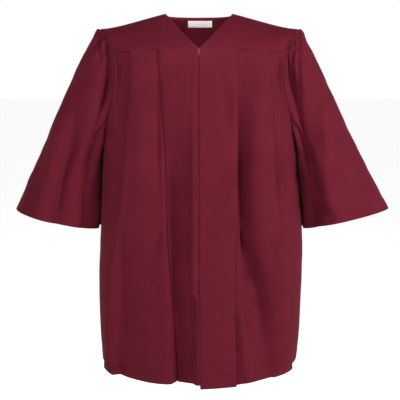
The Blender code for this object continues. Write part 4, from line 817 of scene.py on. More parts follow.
def grid_normals(grid, closed=False):
    """Unit normals of a grid surface, from the directions of its columns and rows."""
    down = np.gradient(grid, axis=0)
    if closed:
        across = (np.roll(grid, -1, axis=1) - np.roll(grid, 1, axis=1)) / 2
    else:
        across = np.gradient(grid, axis=1)
    normal = np.cross(across, down)
    return normal / np.maximum(np.linalg.norm(normal, axis=2)[:, :, None], 1e-12)


def even_steps(count, power=1.0):
    """Shares from 0 to 1, crowded towards 0 by the power."""
    return np.linspace(0.0, 1.0, count) ** power


def armhole_ring(side):
    """The armhole seam: its points from the shoulder down the front, under the arm and up the back.

    Returns the points, the outward normals of the cloth there and the direction off its edge.
    """
    front_top = front_yoke_surface([0.9, 1.0], even_steps(48))
    back_top = back_yoke_surface([0.9, 1.0], even_steps(34))
    lows = []
    for face in ("front", "back"):
        top = FRONT_SEAM_SIDE_Z if face == "front" else BACK_SEAM_Z
        quarter = np.linspace(0.0, np.pi / 2, 86 if face == "front" else 62)[1:]
        heights = top + (UNDERARM_Z - top) * np.sin(quarter)
        fractions = fraction_at_side(heights, face)
        end = Rows(1, face, fractions).length
        arc = np.concatenate((end - 0.01, end), axis=1)
        lows.append(Rows(side, face, fractions).points(arc, 0.0 * arc) * (side, 1, 1))
    front = np.concatenate((front_top, lows[0]))
    back = np.concatenate((back_top, lows[1]))[1:-1][::-1]
    pairs = np.concatenate((front, back))
    ring = pairs[:, 1]
    inward = pairs[:, 0] - ring
    along = np.roll(ring, -1, axis=0) - np.roll(ring, 1, axis=0)
    normal = np.cross(inward, along)
    normal /= np.linalg.norm(normal, axis=1)[:, None]
    middle = ring.mean(axis=0) - np.array((0.12, 0.0, 0.0))
    normal *= np.sign(np.sum(normal * (ring - middle), axis=1))[:, None]
    off = np.cross(normal, along)
    off /= np.linalg.norm(off, axis=1)[:, None]
    off *= -np.sign(np.sum(off * inward, axis=1))[:, None]
    return ring, normal, off


def body_side(side, y, z):
    """How far out the body's cloth lies at a depth and height below the underarm."""
    width = from_table(BODY_ROWS, BODY_COLUMNS, side_name(side), z)
    front = from_table(BODY_ROWS, BODY_COLUMNS, "front", z)
    back = from_table(BODY_ROWS, BODY_COLUMNS, "back", z)
    depth = np.where(y < 0, front, back)
    inside = np.clip(1 - (np.abs(y) / depth) ** SQUARENESS, 0.0, 1.0)
    return width * inside ** (1 / SQUARENESS)


def sleeve_blend(table, turn):
    """Direction round the sleeve: top and underarm ends with a part for its front and back faces."""
    top = (1 + np.cos(turn)) / 2
    face = np.sin(turn)
    made = top[:, None] * np.array(table["top"]) + (1 - top)[:, None] * np.array(table["under"])
    made[:, 0] += np.abs(face) * table["face"][0]
    made[:, 1] += face * table["face"][1]
    made[:, 2] += np.abs(face) * table["face"][2]
    return made / np.linalg.norm(made, axis=1)[:, None]


def cuff_ring(side, turn):
    """Points of the cuff: an ellipse whose inner back quarter is squarer, tilted to face down and out.

    Its inner corners are drawn in, so that it wraps round the body's side.
    """
    row = dict(zip(CUFF_COLUMNS, [row for row in CUFF_ROWS if row[0] == side][0]))
    cosine = np.cos(turn)
    sine = np.sin(turn)
    power = np.where((cosine < 0) & (sine < 0), 2 / INNER_SQUARENESS, 1.0)
    along = row["half_width"] * np.sign(cosine) * np.abs(cosine) ** power
    deep = row["half_depth"] * np.sign(sine) * np.abs(sine) ** power
    lift = row["front_lift"] * np.maximum(sine, 0.0)
    corner = np.where(sine > 0, FRONT_WRAP * sine, -BACK_WRAP * sine)
    wrap = row["wrap"] * 2 * np.maximum(-cosine, 0.0) * corner
    ring = np.stack((row["centre"] + along * np.cos(CUFF_TILT) - wrap, -deep,
                     CUFF_Z + along * np.sin(CUFF_TILT) + lift), axis=-1)
    return ring, row["outer_flare"]


def sleeve_surface(side, steps):
    """Mid-surface of a sleeve for the right-hand side: cubic curves from armhole to cuff.

    Gathers, long folds and creases move it along its normals, and below the underarm it is kept
    clear of the body.
    """
    ring, normal, off = armhole_ring(side)
    chord = np.linalg.norm(np.roll(ring, -1, axis=0) - ring, axis=1)
    arc = np.concatenate(([0.0], np.cumsum(chord)[:-1]))
    under = int(np.argmin(ring[:, 2]))
    total = arc[-1] + chord[-1]
    half = arc[under]
    place = np.where(arc <= half, arc / half / 2, 0.5 + (arc - half) / (total - half) / 2)
    turn = 2 * np.pi * place
    cuff, outer_flare = cuff_ring(side, turn)
    leaves = sleeve_blend(SLEEVE_LEAVES, turn)
    arrives = sleeve_blend({**SLEEVE_ARRIVES, "top": (outer_flare, 0.0, SLEEVE_ARRIVES["top"][2])}, turn)
    bend = np.clip(np.sum(leaves * off, axis=1), -1.0, 1.0)
    start = ring + off * (ARMHOLE_OFF_EDGE * np.sqrt((1 + bend) / 2))[:, None]
    start = start + normal * (ARMHOLE_OFF_FACE * np.sqrt((1 - bend) / 2) - SEAM_DIP)[:, None]
    size = np.linalg.norm(cuff - start, axis=1)[:, None]
    grid = cubic(start, start + leaves * size * SLEEVE_START_HANDLE,
                 cuff - arrives * size * SLEEVE_END_HANDLE, cuff, steps)
    steps = np.asarray(steps)[:, None]
    lift = 0.0 * grid[:, :, 0]
    signed = np.where(arc <= half, arc, arc - total)
    for row_side, where, width, height, length in GATHER_ROWS:
        if row_side == side:
            spread = GATHER_WIDTH * width * (1 + GATHER_SPREADING * steps / length)
            along = ease(steps / GATHER_START) * (1 - ease((steps - GATHER_START) / length))
            lift = lift + GATHER_HEIGHT * height * np.exp(-((signed - where) / spread) ** 2) * along
    for row_side, where, width, depth, begin in SLEEVE_FOLD_ROWS:
        if row_side == side:
            lift = lift + depth * np.exp(-((place - where) / width) ** 2) * ease((steps - begin) / 0.4)
    normals = grid_normals(grid, closed=True)
    facing = ease((0.15 - normals[:, :, 1]) / 0.7)
    creases = relief(f"sleeve_{side_name(side)}", side * grid[:, :, 0], grid[:, :, 2], facing)
    lift = lift + creases * ease(steps / 0.02)
    grid = grid + normals * lift[:, :, None]
    clear = body_side(side, grid[:, :, 1], grid[:, :, 2]) + SLEEVE_CLEARANCE
    below = grid[:, :, 2] < UNDERARM_Z
    grid[:, :, 0] = np.where(below, np.maximum(grid[:, :, 0], clear), grid[:, :, 0])
    return grid


def flat_lengths(mid, closed):
    """Lengths along the middle row and down the middle column, for a cloth's own pattern map."""
    middle = mid[len(mid) // 2]
    if closed:
        middle = np.concatenate((middle, middle[:1]))
    across = np.concatenate(([0.0], np.cumsum(np.linalg.norm(np.diff(middle, axis=0), axis=1))))
    column = mid[:, mid.shape[1] // 2]
    down = np.concatenate(([0.0], np.cumsum(np.linalg.norm(np.diff(column, axis=0), axis=1))))
    return across, down


def shell(name, mid, thickness, finish, outward, closed=False):
    """A thin closed shell of cloth: the grid moved out and in by half its thickness, with round edges.

    The rows are tip, outer rows, tip and inner rows in reverse, joined in a loop. Outward is +1
    where the grid's own normals point out of the cloth's right side and -1 where they point in.
    """
    rows, columns = mid.shape[:2]
    normals = grid_normals(mid, closed) * outward
    half = np.broadcast_to(np.asarray(thickness) / 2, mid.shape[:2])[:, :, None]
    first = mid[0] - mid[1]
    last = mid[-1] - mid[-2]
    first /= np.linalg.norm(first, axis=1)[:, None]
    last /= np.linalg.norm(last, axis=1)[:, None]
    outer = mid + normals * half
    inner = mid - normals * half
    first_tip = mid[:1] + first * half[:1] * 0.7
    last_tip = mid[-1:] + last * half[-1:] * 0.7
    loop = np.concatenate((first_tip, outer, last_tip, inner[::-1]))
    around = len(loop)
    down = np.arange(around)
    over = np.arange(columns if closed else columns - 1)
    corner_rows = np.stack((down, down + 1, down + 1, down), axis=-1)[:, None, :]
    corner_columns = np.stack((over, over, over + 1, over + 1), axis=-1)[None, :, :]
    corner_rows, corner_columns = np.broadcast_arrays(corner_rows, corner_columns)
    quads = (corner_rows % around) * columns + corner_columns % columns
    across, length = flat_lengths(mid, closed)
    row_of = np.concatenate(([0], np.arange(rows), [rows - 1], np.arange(rows)[::-1]))
    u = across[corner_columns]
    v = -length[row_of[corner_rows % around]]
    if outward < 0:
        quads = quads[:, :, ::-1]
        u = u[:, :, ::-1]
        v = v[:, :, ::-1]
    faces = quads.reshape(-1, 4)
    uv = np.stack((u.reshape(-1, 4), v.reshape(-1, 4)), axis=-1).reshape(-1, 2)
    extra = []
    extra_uv = []
    if not closed:
        for column, flip in ((0, False), (columns - 1, True)):
            right = np.arange(1, rows + 1) * columns + column
            wrong = (around - 1 - np.arange(rows)) * columns + column
            strip = np.stack((right[:-1], wrong[:-1], wrong[1:], right[1:]), axis=-1)
            end_tip = (rows + 1) * columns + column
            tips = np.array(((column, wrong[0], right[0]), (end_tip, right[-1], wrong[-1])))
            if flip != (outward < 0):
                strip = strip[:, ::-1]
                tips = tips[:, ::-1]
            faces = np.concatenate((faces, strip))
            edge_v = np.stack((-length[:-1], -length[:-1], -length[1:], -length[1:]), axis=-1)
            if flip != (outward < 0):
                edge_v = edge_v[:, ::-1]
            edge_u = np.full_like(edge_v, across[column])
            uv = np.concatenate((uv, np.stack((edge_u, edge_v), axis=-1).reshape(-1, 2)))
            extra += tips.tolist()
            extra_uv += [(across[column], -length[0])] * 3 + [(across[column], -length[-1])] * 3
    return cloth_object(name, loop.reshape(-1, 3), faces.tolist() + extra,
                        np.concatenate((uv, np.array(extra_uv).reshape(-1, 2))), finish)


def cloth_object(name, points, faces, uv, finish, smooth=True):
    """A mesh object from points, faces and, where given, its pattern map."""
    mesh = bpy.data.meshes.new(name)
    mesh.from_pydata(points.tolist(), [], faces)
    if uv is not None:
        layer = mesh.uv_layers.new(name="cloth_metres")
        layer.data.foreach_set("uv", np.ascontiguousarray(uv, dtype=np.float32).ravel())
    if smooth:
        mesh.shade_smooth()
    mesh.materials.append(finish)
    item = bpy.data.objects.new(name, mesh)
    bpy.context.scene.collection.objects.link(item)
    return item


def zip_places(across, heights, inward):
    """Points at distances from the middle and heights at the middle, inward of the fronts."""
    rows = Rows(1, "front", fraction_at_centre(np.asarray(heights)))
    size = np.abs(across)[None, :] + 0.0 * rows.width
    grid = rows.points(size, np.full_like(size, -inward))
    grid[:, :, 0] = across[None, :]
    return grid


def teeth(name, finish, pitch):
    """The closed coil: flat loops from the left and the right in turn, a half pitch apart.

    Each is a bar of ellipses along x whose head, past the middle, is a little thicker.
    """
    low = ZIP_END_Z + TEETH_ENDS[1]
    high = SLIDER_Z - TEETH_ENDS[0]
    count = int((high - low) / pitch * 2)
    heights = high - pitch / 2 * np.arange(count)
    centre = zip_places(np.zeros(1), heights, TEETH_INWARD)[:, 0]
    side = np.where(np.arange(count) % 2 == 0, -1.0, 1.0)
    along = np.array([row[0] for row in TOOTH_ROWS])
    thick = np.array([row[1] for row in TOOTH_ROWS])
    angle = np.linspace(0.0, 2 * np.pi, TOOTH_SIDES, endpoint=False)
    shape = np.stack((np.broadcast_to(along[:, None], (len(along), TOOTH_SIDES)),
                      thick[:, None] * np.sin(angle) * TOOTH_DEPTH, thick[:, None] * np.cos(angle)), axis=-1)
    points = shape[None] * np.stack((side, 0 * side + 1, 0 * side + 1), axis=-1)[:, None, None]
    points = points + centre[:, None, None]
    return tubes(name, points, finish)


def tubes(name, points, finish):
    """One mesh of many short tubes; points are tube, station and place round it, closed at both ends."""
    count, stations, sides = points.shape[:3]
    station = np.arange(stations - 1)[:, None]
    place = np.arange(sides)[None, :]
    ahead = (place + 1) % sides
    quads = np.stack((station * sides + place, station * sides + ahead,
                      (station + 1) * sides + ahead, (station + 1) * sides + place), axis=-1).reshape(-1, 4)
    base = np.arange(count) * stations * sides
    faces = (quads[None] + base[:, None, None]).reshape(-1, 4).tolist()
    first = (np.arange(sides)[::-1] + base[:, None]).tolist()
    last = (np.arange(sides) + (stations - 1) * sides + base[:, None]).tolist()
    item = cloth_object(name, points.reshape(-1, 3), faces + first + last, None, finish)
    mesh = bmesh.new()
    mesh.from_mesh(item.data)
    bmesh.ops.recalc_face_normals(mesh, faces=mesh.faces)
    mesh.to_mesh(item.data)
    mesh.free()
    return item


def stitches(name, paths, finish, stitch, thread):
    """Rows of stitches laid on paths: each is a short thread that rises between two needle holes.

    A path is its points and their outward normals; each stitch is sin(pi t) high along its length.
    """
    made = []
    for line, out in paths:
        arc = np.concatenate(([0.0], np.cumsum(np.linalg.norm(np.diff(line, axis=0), axis=1))))
        pitch = stitch * STITCH_PITCH
        starts = np.arange(pitch / 2, arc[-1] - pitch, pitch)
        t = np.linspace(0.0, 1.0, STITCH_STATIONS)
        places = starts[:, None] + stitch * t
        centre = np.stack([np.interp(places, arc, line[:, axis]) for axis in range(3)], axis=-1)
        normal = np.stack([np.interp(places, arc, out[:, axis]) for axis in range(3)], axis=-1)
        normal /= np.linalg.norm(normal, axis=-1)[..., None]
        ahead = centre[:, -1:] - centre[:, :1]
        ahead = ahead / np.linalg.norm(ahead, axis=-1)[..., None]
        beside = np.cross(ahead, normal)
        radius = (thread / 2 * (0.35 + 0.65 * np.sin(np.pi * t)))[None, :, None, None]
        angle = np.linspace(0.0, 2 * np.pi, STITCH_SIDES, endpoint=False)[None, None, :, None]
        rise = (thread * (np.sin(np.pi * t) * 0.6 - 0.25))[None, :, None]
        centre = centre + normal * rise
        spoke = np.cos(angle) * normal[:, :, None] + np.sin(angle) * beside[:, :, None]
        made.append(centre[:, :, None] + radius * spoke)
    return tubes(name, np.concatenate(made), finish)


def column_path(mid, column, thickness, outward):
    """A line down a grid's column, on its right side, with the outward normals."""
    out = grid_normals(mid)[:, column] * outward
    return mid[:, column] + out * np.broadcast_to(thickness, mid.shape[:2])[:, column, None] / 2, out


def level_path(mid, thickness, outward, height, closed=False):
    """A line across a grid at a height above its last row, on its right side, with its normals."""
    step = np.linalg.norm(np.diff(mid[::-1], axis=0), axis=2)
    from_hem = np.concatenate((np.zeros((1, mid.shape[1])), np.cumsum(step, axis=0)))
    counts = np.arange(len(mid)) + 0.0 * from_hem.T
    row = len(mid) - 1 - rowwise(np.full((mid.shape[1], 1), height), from_hem.T, counts)
    low = np.clip(np.floor(row[:, 0]).astype(int), 0, len(mid) - 2)
    part = (row[:, 0] - low)[:, None]
    column = np.arange(mid.shape[1])
    normals = grid_normals(mid, closed) * outward
    on_face = mid + normals * np.broadcast_to(thickness, mid.shape[:2])[:, :, None] / 2
    line = on_face[low, column] * (1 - part) + on_face[low + 1, column] * part
    out = normals[low, column] * (1 - part) + normals[low + 1, column] * part
    if closed:
        line = np.concatenate((line, line[:1]))
        out = np.concatenate((out, out[:1]))
    return line, out


def spaced(spans):
    """Shares of the way down from one span after another, with the ends that they share once."""
    return np.concatenate([np.linspace(*span)[min(number, 1):] for number, span in enumerate(spans)])


def hem_thickness(mid, cloth, hem):
    """Cloth thickness down a panel: about half as much again in the folded hem, pressed at its seam."""
    from_hem = np.cumsum(np.linalg.norm(np.diff(mid[::-1], axis=0), axis=2), axis=0)[::-1]
    from_hem = np.concatenate((from_hem, np.zeros((1, mid.shape[1]))))
    band = 1 - ease((from_hem - hem) / 0.002)
    groove = np.exp(-((from_hem - hem + 0.002) / 0.0012) ** 2)
    return cloth * (1 + 0.55 * band - 0.45 * groove)


def add_node(nodes, kind, place, values=None, links=None, sources=None, **settings):
    """Adds a node with its settings, socket values and links."""
    node = nodes.new(kind)
    node.location = place
    for key, value in settings.items():
        setattr(node, key, value)
    for key, value in (values or {}).items():
        node.inputs[key].default_value = value
    for key, value in (sources or {}).items():
        links.new(value, node.inputs[key])
    return node


def cloth_material(name, colour, roughness, thread, mottle, sheen):
    """Woven polyester with a dull finish: fine ribs both ways, soft mottling and a faint sheen."""
    made = bpy.data.materials.new(name)
    made.use_nodes = True
    nodes = made.node_tree.nodes
    links = made.node_tree.links
    shader = nodes["Principled BSDF"]
    shader.inputs["Roughness"].default_value = roughness
    shader.inputs["Sheen Weight"].default_value = sheen
    shader.inputs["Sheen Roughness"].default_value = 0.35
    shader.inputs["Sheen Tint"].default_value = (1.0, 0.28, 0.38, 1.0)
    shader.inputs["Specular IOR Level"].default_value = 0.05
    where = add_node(nodes, "ShaderNodeUVMap", (-1400, 0), uv_map="cloth_metres")
    solid = add_node(nodes, "ShaderNodeTexCoord", (-1400, -400))
    separate = add_node(nodes, "ShaderNodeSeparateXYZ", (-1200, 0), None, links, {"Vector": where.outputs["UV"]})
    waves = []
    for axis, height in (("X", 120), ("Y", -80)):
        turned = add_node(nodes, "ShaderNodeMath", (-1000, height), {1: 2 * np.pi / thread}, links,
                          {0: separate.outputs[axis]}, operation="MULTIPLY")
        waves.append(add_node(nodes, "ShaderNodeMath", (-820, height), None, links, {0: turned.outputs[0]},
                              operation="SINE").outputs[0])
    weave = add_node(nodes, "ShaderNodeMath", (-640, 20), None, links, {0: waves[0], 1: waves[1]},
                     operation="MULTIPLY")
    patchy = add_node(nodes, "ShaderNodeTexNoise", (-1000, -400),
                      {"Scale": 1 / mottle, "Detail": 4.0, "Roughness": 0.55},
                      links, {"Vector": solid.outputs["Object"]})
    fine = add_node(nodes, "ShaderNodeTexNoise", (-1000, -660),
                    {"Scale": 420.0, "Detail": 2.0, "Roughness": 0.6},
                    links, {"Vector": solid.outputs["Object"]})
    shade = add_node(nodes, "ShaderNodeMapRange", (-640, -400),
                     {"From Min": 0.3, "From Max": 0.7, "To Min": 0.92, "To Max": 1.08},
                     links, {"Value": patchy.outputs["Fac"]})
    speck = add_node(nodes, "ShaderNodeMapRange", (-640, -660),
                     {"From Min": 0.2, "From Max": 0.8, "To Min": 0.93, "To Max": 1.07},
                     links, {"Value": fine.outputs["Fac"]})
    both = add_node(nodes, "ShaderNodeMath", (-440, -500), None, links,
                    {0: shade.outputs["Result"], 1: speck.outputs["Result"]}, operation="MULTIPLY")
    tone = add_node(nodes, "ShaderNodeHueSaturation", (-240, -300), {"Color": (*colour, 1.0)}, links,
                    {"Value": both.outputs[0]})
    links.new(tone.outputs["Color"], shader.inputs["Base Color"])
    bump = add_node(nodes, "ShaderNodeBump", (-240, 0), {"Strength": 0.16, "Distance": thread * 0.3}, links,
                    {"Height": weave.outputs[0]})
    soft = add_node(nodes, "ShaderNodeBump", (-40, -100), {"Strength": 0.2, "Distance": 0.0007}, links,
                    {"Height": patchy.outputs["Fac"], "Normal": bump.outputs["Normal"]})
    links.new(soft.outputs["Normal"], shader.inputs["Normal"])
    return made


def lacquer_material(name, colour, roughness):
    """Zinc casting under coloured lacquer: the colour's own smooth face, a little cloudy."""
    made = bpy.data.materials.new(name)
    made.use_nodes = True
    nodes = made.node_tree.nodes
    links = made.node_tree.links
    shader = nodes["Principled BSDF"]
    shader.inputs["Base Color"].default_value = (*colour, 1.0)
    shader.inputs["Specular IOR Level"].default_value = 0.3
    solid = add_node(nodes, "ShaderNodeTexCoord", (-900, 0))
    cloudy = add_node(nodes, "ShaderNodeTexNoise", (-700, 0), {"Scale": 900.0, "Detail": 3.0}, links,
                      {"Vector": solid.outputs["Object"]})
    rough = add_node(nodes, "ShaderNodeMapRange", (-460, 0), {"To Min": roughness - 0.08, "To Max": roughness + 0.1},
                     links, {"Value": cloudy.outputs["Fac"]})
    links.new(rough.outputs["Result"], shader.inputs["Roughness"])
    bump = add_node(nodes, "ShaderNodeBump", (-300, -250), {"Strength": 0.1, "Distance": 0.0001}, links,
                    {"Height": cloudy.outputs["Fac"]})
    links.new(bump.outputs["Normal"], shader.inputs["Normal"])
    return made


def finish_named(name):
    """One of the gown's materials, made the first time that it is asked for."""
    if name in bpy.data.materials:
        return bpy.data.materials[name]
    colours = bpy.context.scene.gown_colours
    if name == "lacquered_zinc":
        # Die-cast zinc under lacquer of the cloth's colour: smooth, with a small soft glint on the slider
        return lacquer_material(name, colours.metal, LACQUER_ROUGHNESS)
    colour, *looks = WOVEN_FINISHES[name]
    return cloth_material(name, getattr(colours, colour), *looks)


def settle(item, slot_name, *nodes, body="gown"):
    """Rides a piece on its body and hides the solids that it stands for; its slot name is not used."""
    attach(item, body)
    if nodes:
        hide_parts(*nodes)
    return item


class GOWN_OT_fronts(bpy.types.Operator):
    """Makes the two front panels with their pleats, zip plackets and hem"""
    bl_idname = "gown.fronts"
    bl_label = "Front panels"

    def execute(self, context):
        sizes = context.scene.gown_sizes
        for side in (-1, 1):
            mid = front_surface(side, spaced(FRONT_ROW_SPANS), sizes.placket)
            thickness = hem_thickness(mid, sizes.cloth, sizes.hem)
            node = f"front_{side_name(side)}"
            item = shell(f"{node}_cloth", mid, thickness, finish_named("matte_polyester_weave"), side)
            settle(item, "gown_cloth", node)
            paths = [column_path(mid, PLACKET_STITCH_COLUMN, thickness, side),
                     level_path(mid, thickness, side, sizes.hem)]
            thread = finish_named("polyester_sewing_thread")
            settle(stitches(f"{node}_stitches", paths, thread, sizes.stitch, sizes.thread), "gown_cloth")
        return {"FINISHED"}


class GOWN_OT_back(bpy.types.Operator):
    """Makes the back panel with its pleats and hem"""
    bl_idname = "gown.back"
    bl_label = "Back panel"

    def execute(self, context):
        sizes = context.scene.gown_sizes
        mid = back_surface(spaced(BACK_ROW_SPANS))
        thickness = hem_thickness(mid, sizes.cloth, sizes.hem)
        item = shell("back_cloth", mid, thickness, finish_named("matte_polyester_weave"), -1)
        settle(item, "gown_cloth", "back")
        thread = finish_named("polyester_sewing_thread")
        paths = [level_path(mid, thickness, -1, sizes.hem)]
        settle(stitches("back_stitches", paths, thread, sizes.stitch, sizes.thread), "gown_cloth")
        return {"FINISHED"}


def sewn_yoke(grid, out, creases, across, steps, lap, cloth):
    """A yoke's grid with its creases, its lower edge raised over the panel and its ends pressed down."""
    full, begin, run = lap
    lift = creases * YOKE_CREASE_SHARE * ease(steps / full)[:, None]
    lift = lift + (cloth + SKIN_GAP) * ease((steps - begin) / run)[:, None]
    lift = lift - SEAM_DIP * ease((np.abs(across) - YOKE_EDGE) / (1 - YOKE_EDGE))[None, :]
    grid = grid + out * lift[:, :, None]
    grid[:, :, 2] -= SEAM_LAP * ease((steps - begin) / (1 - begin))[:, None]
    return grid


class GOWN_OT_yokes(bpy.types.Operator):
    """Makes the two front yokes and the back yoke"""
    bl_idname = "gown.yokes"
    bl_label = "Yokes"

    def execute(self, context):
        sizes = context.scene.gown_sizes
        finish = finish_named("matte_polyester_weave")
        steps = 1 - even_steps(YOKE_ROWS, YOKE_ROW_CROWDING)[::-1]
        across = even_steps(FRONT_YOKE_COLUMNS)
        for side in (-1, 1):
            grid = front_yoke_surface(across, steps)
            mirror = np.array((side, 1, 1))
            node = f"yoke_front_{side_name(side)}"
            creases = relief(node, side * grid[:, :, 0], grid[:, :, 2])
            grid = sewn_yoke(grid, -grid_normals(grid), creases, across, steps, FRONT_YOKE_LAP, sizes.cloth)
            grid[0, :, 1] = -SEAM_GAP / 2 - SKIN_GAP
            item = shell(f"{node}_cloth", grid * mirror, sizes.cloth, finish, -side)
            settle(item, "gown_cloth", node)
        neck = neck_share()
        inner = neck * np.sin(np.linspace(0.0, np.pi / 2, 38))
        outer = np.linspace(neck, 1.0, 52)[1:]
        size = np.concatenate((inner, outer))
        across = np.concatenate((-size[:0:-1], size))
        grid = back_yoke_surface(across, steps)
        creases = relief("yoke_back", grid[:, :, 0], grid[:, :, 2])
        grid = sewn_yoke(grid, grid_normals(grid), creases, across, steps, BACK_YOKE_LAP, sizes.cloth)
        grid[0, :, 1] += np.where(np.abs(across) >= neck - 1e-6, SEAM_GAP / 2 + SKIN_GAP, 0.0)
        item = shell("yoke_back_cloth", grid, sizes.cloth, finish, 1)
        settle(item, "gown_cloth", "yoke_back")
        return {"FINISHED"}


class GOWN_OT_sleeves(bpy.types.Operator):
    """Makes the two bell sleeves with their gathered heads and cuff hems"""
    bl_idname = "gown.sleeves"
    bl_label = "Sleeves"

    def execute(self, context):
        sizes = context.scene.gown_sizes
        for side in (-1, 1):
            grid = sleeve_surface(side, spaced(SLEEVE_ROW_SPANS)) * np.array((side, 1, 1))
            thickness = hem_thickness(grid, sizes.cloth, sizes.hem)
            node = f"sleeve_{side_name(side)}"
            finish = finish_named("matte_polyester_weave")
            item = shell(f"{node}_cloth", grid, thickness, finish, side, closed=True)
            settle(item, "gown_cloth", node)
            thread = finish_named("polyester_sewing_thread")
            paths = [level_path(grid, thickness, side, sizes.hem, closed=True)]
            settle(stitches(f"{node}_stitches", paths, thread, sizes.stitch, sizes.thread), "gown_cloth")
        return {"FINISHED"}


def inside_back_yoke(across, arcs, inward):
    """Points on the inner side of the back yoke, at places along it and lengths down from its edge."""
    steps = even_steps(60)
    grid = back_yoke_surface(across, steps)
    normals = grid_normals(grid)
    length = np.concatenate((np.zeros((1, grid.shape[1])),
                             np.cumsum(np.linalg.norm(np.diff(grid, axis=0), axis=2), axis=0)))
    rows = np.stack([np.interp(arcs, length[:, column], np.arange(len(steps)))
                     for column in range(len(across))], axis=1)
    low = np.clip(np.floor(rows).astype(int), 0, len(steps) - 2)
    part = (rows - low)[:, :, None]
    column = np.arange(len(across))[None, :]
    points = grid[low, column] * (1 - part) + grid[low + 1, column] * part
    out = normals[low, column] * (1 - part) + normals[low + 1, column] * part
    return points - out * inward


class GOWN_OT_neck(bpy.types.Operator):
    """Makes the narrow neck tape and the bare woven label inside the back yoke"""
    bl_idname = "gown.neck"
    bl_label = "Neck tape and label"

    def execute(self, context):
        cloth = context.scene.gown_sizes.cloth
        neck = neck_share()
        across = neck * np.sin(np.linspace(-1.0, 1.0, 61) * np.pi / 2 * 0.985)
        arcs = np.linspace(0.0, 0.0058, 7)
        mid = inside_back_yoke(across, arcs, cloth / 2 + SEAM_GAP / 2 + TAPE_THICKNESS / 2)
        item = shell("neck_tape_cloth", mid, TAPE_THICKNESS, finish_named("polyester_twill_tape"), 1)
        settle(item, "tape", "neck_tape")
        rows = Rows(1, "back", [0.0])
        places = LABEL_CENTRE_X + LABEL_WIDTH * np.linspace(-0.5, 0.5, 41)
        share = np.sign(places) * rows.arc_at(np.abs(places)[None, :])[0] / rows.length[0, 0]
        arcs = LABEL_TOP + LABEL_HEIGHT * np.linspace(0.0, 1.0, 15)
        mid = inside_back_yoke(share, arcs, cloth / 2 + SEAM_GAP / 2 + LABEL_THICKNESS / 2)
        item = shell("label_cloth", mid, LABEL_THICKNESS, finish_named("white_satin_label"), 1)
        settle(item, "label", "label")
        return {"FINISHED"}


class GOWN_OT_zip(bpy.types.Operator):
    """Makes the zip tapes and teeth, and finishes the slider, pull tab and stop"""
    bl_idname = "gown.zip"
    bl_label = "Zip"

    def execute(self, context):
        sizes = context.scene.gown_sizes
        heights = np.linspace(FRONT_SEAM_CENTRE_Z - 0.0012, ZIP_END_Z, 120)
        inward = sizes.cloth / 2 + SEAM_GAP + TAPE_THICKNESS / 2
        for side in (-1, 1):
            across = side * np.linspace(ZIP_TAPE_INNER, ZIP_TAPE_OUTER, 7)
            node = f"zip_tape_{side_name(side)}"
            item = shell(f"{node}_cloth", zip_places(across, heights, inward), TAPE_THICKNESS,
                         finish_named("polyester_twill_tape"), side)
            settle(item, "tape", node)
        item = teeth("zip_teeth", finish_named("nylon_zip_coil"), sizes.tooth_pitch)
        settle(item, "tape", "zip_chain")
        for node in ("zip_slider", "pull_tab", "zip_stop"):
            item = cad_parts[node]
            item.data.materials.clear()
            item.data.materials.append(finish_named("lacquered_zinc"))
        return {"FINISHED"}


def stand(name, data, place, aim):
    """Puts a camera or light at a place, turned to face a point."""
    item = bpy.data.objects.new(name, data)
    item.location = place
    way = np.array(aim) - np.array(place)
    way = way / np.linalg.norm(way)
    item.rotation_euler = (float(np.arccos(-way[2])), 0.0, float(np.arctan2(-way[0], way[1])))
    bpy.context.scene.collection.objects.link(item)
    return item


def camera_at(eye, aim, lens):
    """A camera at a point, looking at another."""
    data = bpy.data.cameras.new("camera")
    data.lens = lens
    data.sensor_width = 36.0
    bpy.context.scene.camera = stand("camera", data, eye, aim)


def area_light(name, place, aim, size, power, spread):
    """A soft square light at a place, turned to face a point; its spread is in degrees."""
    data = bpy.data.lights.new(name, "AREA")
    data.shape = "SQUARE"
    data.size = size
    data.energy = power
    data.spread = np.radians(spread)
    stand(name, data, place, aim)


def backdrop():
    """A pale floor: a wide disc of rings, level, with its own material that glows as painted light: dim under the
    gown, where it reads as painted shade, and bright further out.
    """
    radius = np.array(FLOOR_RINGS)
    angle = np.linspace(0.0, 2 * np.pi, FLOOR_SIDES, endpoint=False)
    grid = np.stack((radius[:, None] * np.cos(angle), radius[:, None] * np.sin(angle),
                     np.full((len(radius), len(angle)), FLOOR_Z)), axis=-1)
    index = np.arange(grid[..., 0].size).reshape(grid.shape[:2])
    ahead = np.roll(index, -1, axis=1)
    faces = np.stack((index[:-1], index[1:], ahead[1:], ahead[:-1]), axis=-1).reshape(-1, 4)
    made = bpy.data.materials.new("pale_floor_paint")
    made.use_nodes = True
    nodes = made.node_tree.nodes
    shader = nodes["Principled BSDF"]
    shader.inputs["Roughness"].default_value = 0.9
    shader.inputs["Base Color"].default_value = (*hex_to_linear("#FAFAFA"), 1.0)
    shader.inputs["Specular IOR Level"].default_value = 0.1
    shader.inputs["Emission Color"].default_value = (1.0, 1.0, 1.0, 1.0)
    links = made.node_tree.links
    solid = add_node(nodes, "ShaderNodeTexCoord", (-900, -300))
    level = add_node(nodes, "ShaderNodeVectorMath", (-700, -300), {1: (1.0, 1.0, 0.0)}, links,
                     {0: solid.outputs["Object"]}, operation="MULTIPLY")
    far = add_node(nodes, "ShaderNodeVectorMath", (-500, -300), None, links, {0: level.outputs["Vector"]},
                   operation="LENGTH")
    # Painted light: the floor glows white, faintly under the gown as painted shade there, and brightly from 0.58 m
    # out
    glow = add_node(nodes, "ShaderNodeMapRange", (-300, -300),
                    {"From Min": 0.25, "From Max": 0.58, "To Min": 0.05, "To Max": 0.85}, links,
                    {"Value": far.outputs["Value"]}, interpolation_type="SMOOTHSTEP")
    links.new(glow.outputs["Result"], shader.inputs["Emission Strength"])
    item = cloth_object("floor", grid.reshape(-1, 3), faces.tolist(), None, made, smooth=False)
    return item


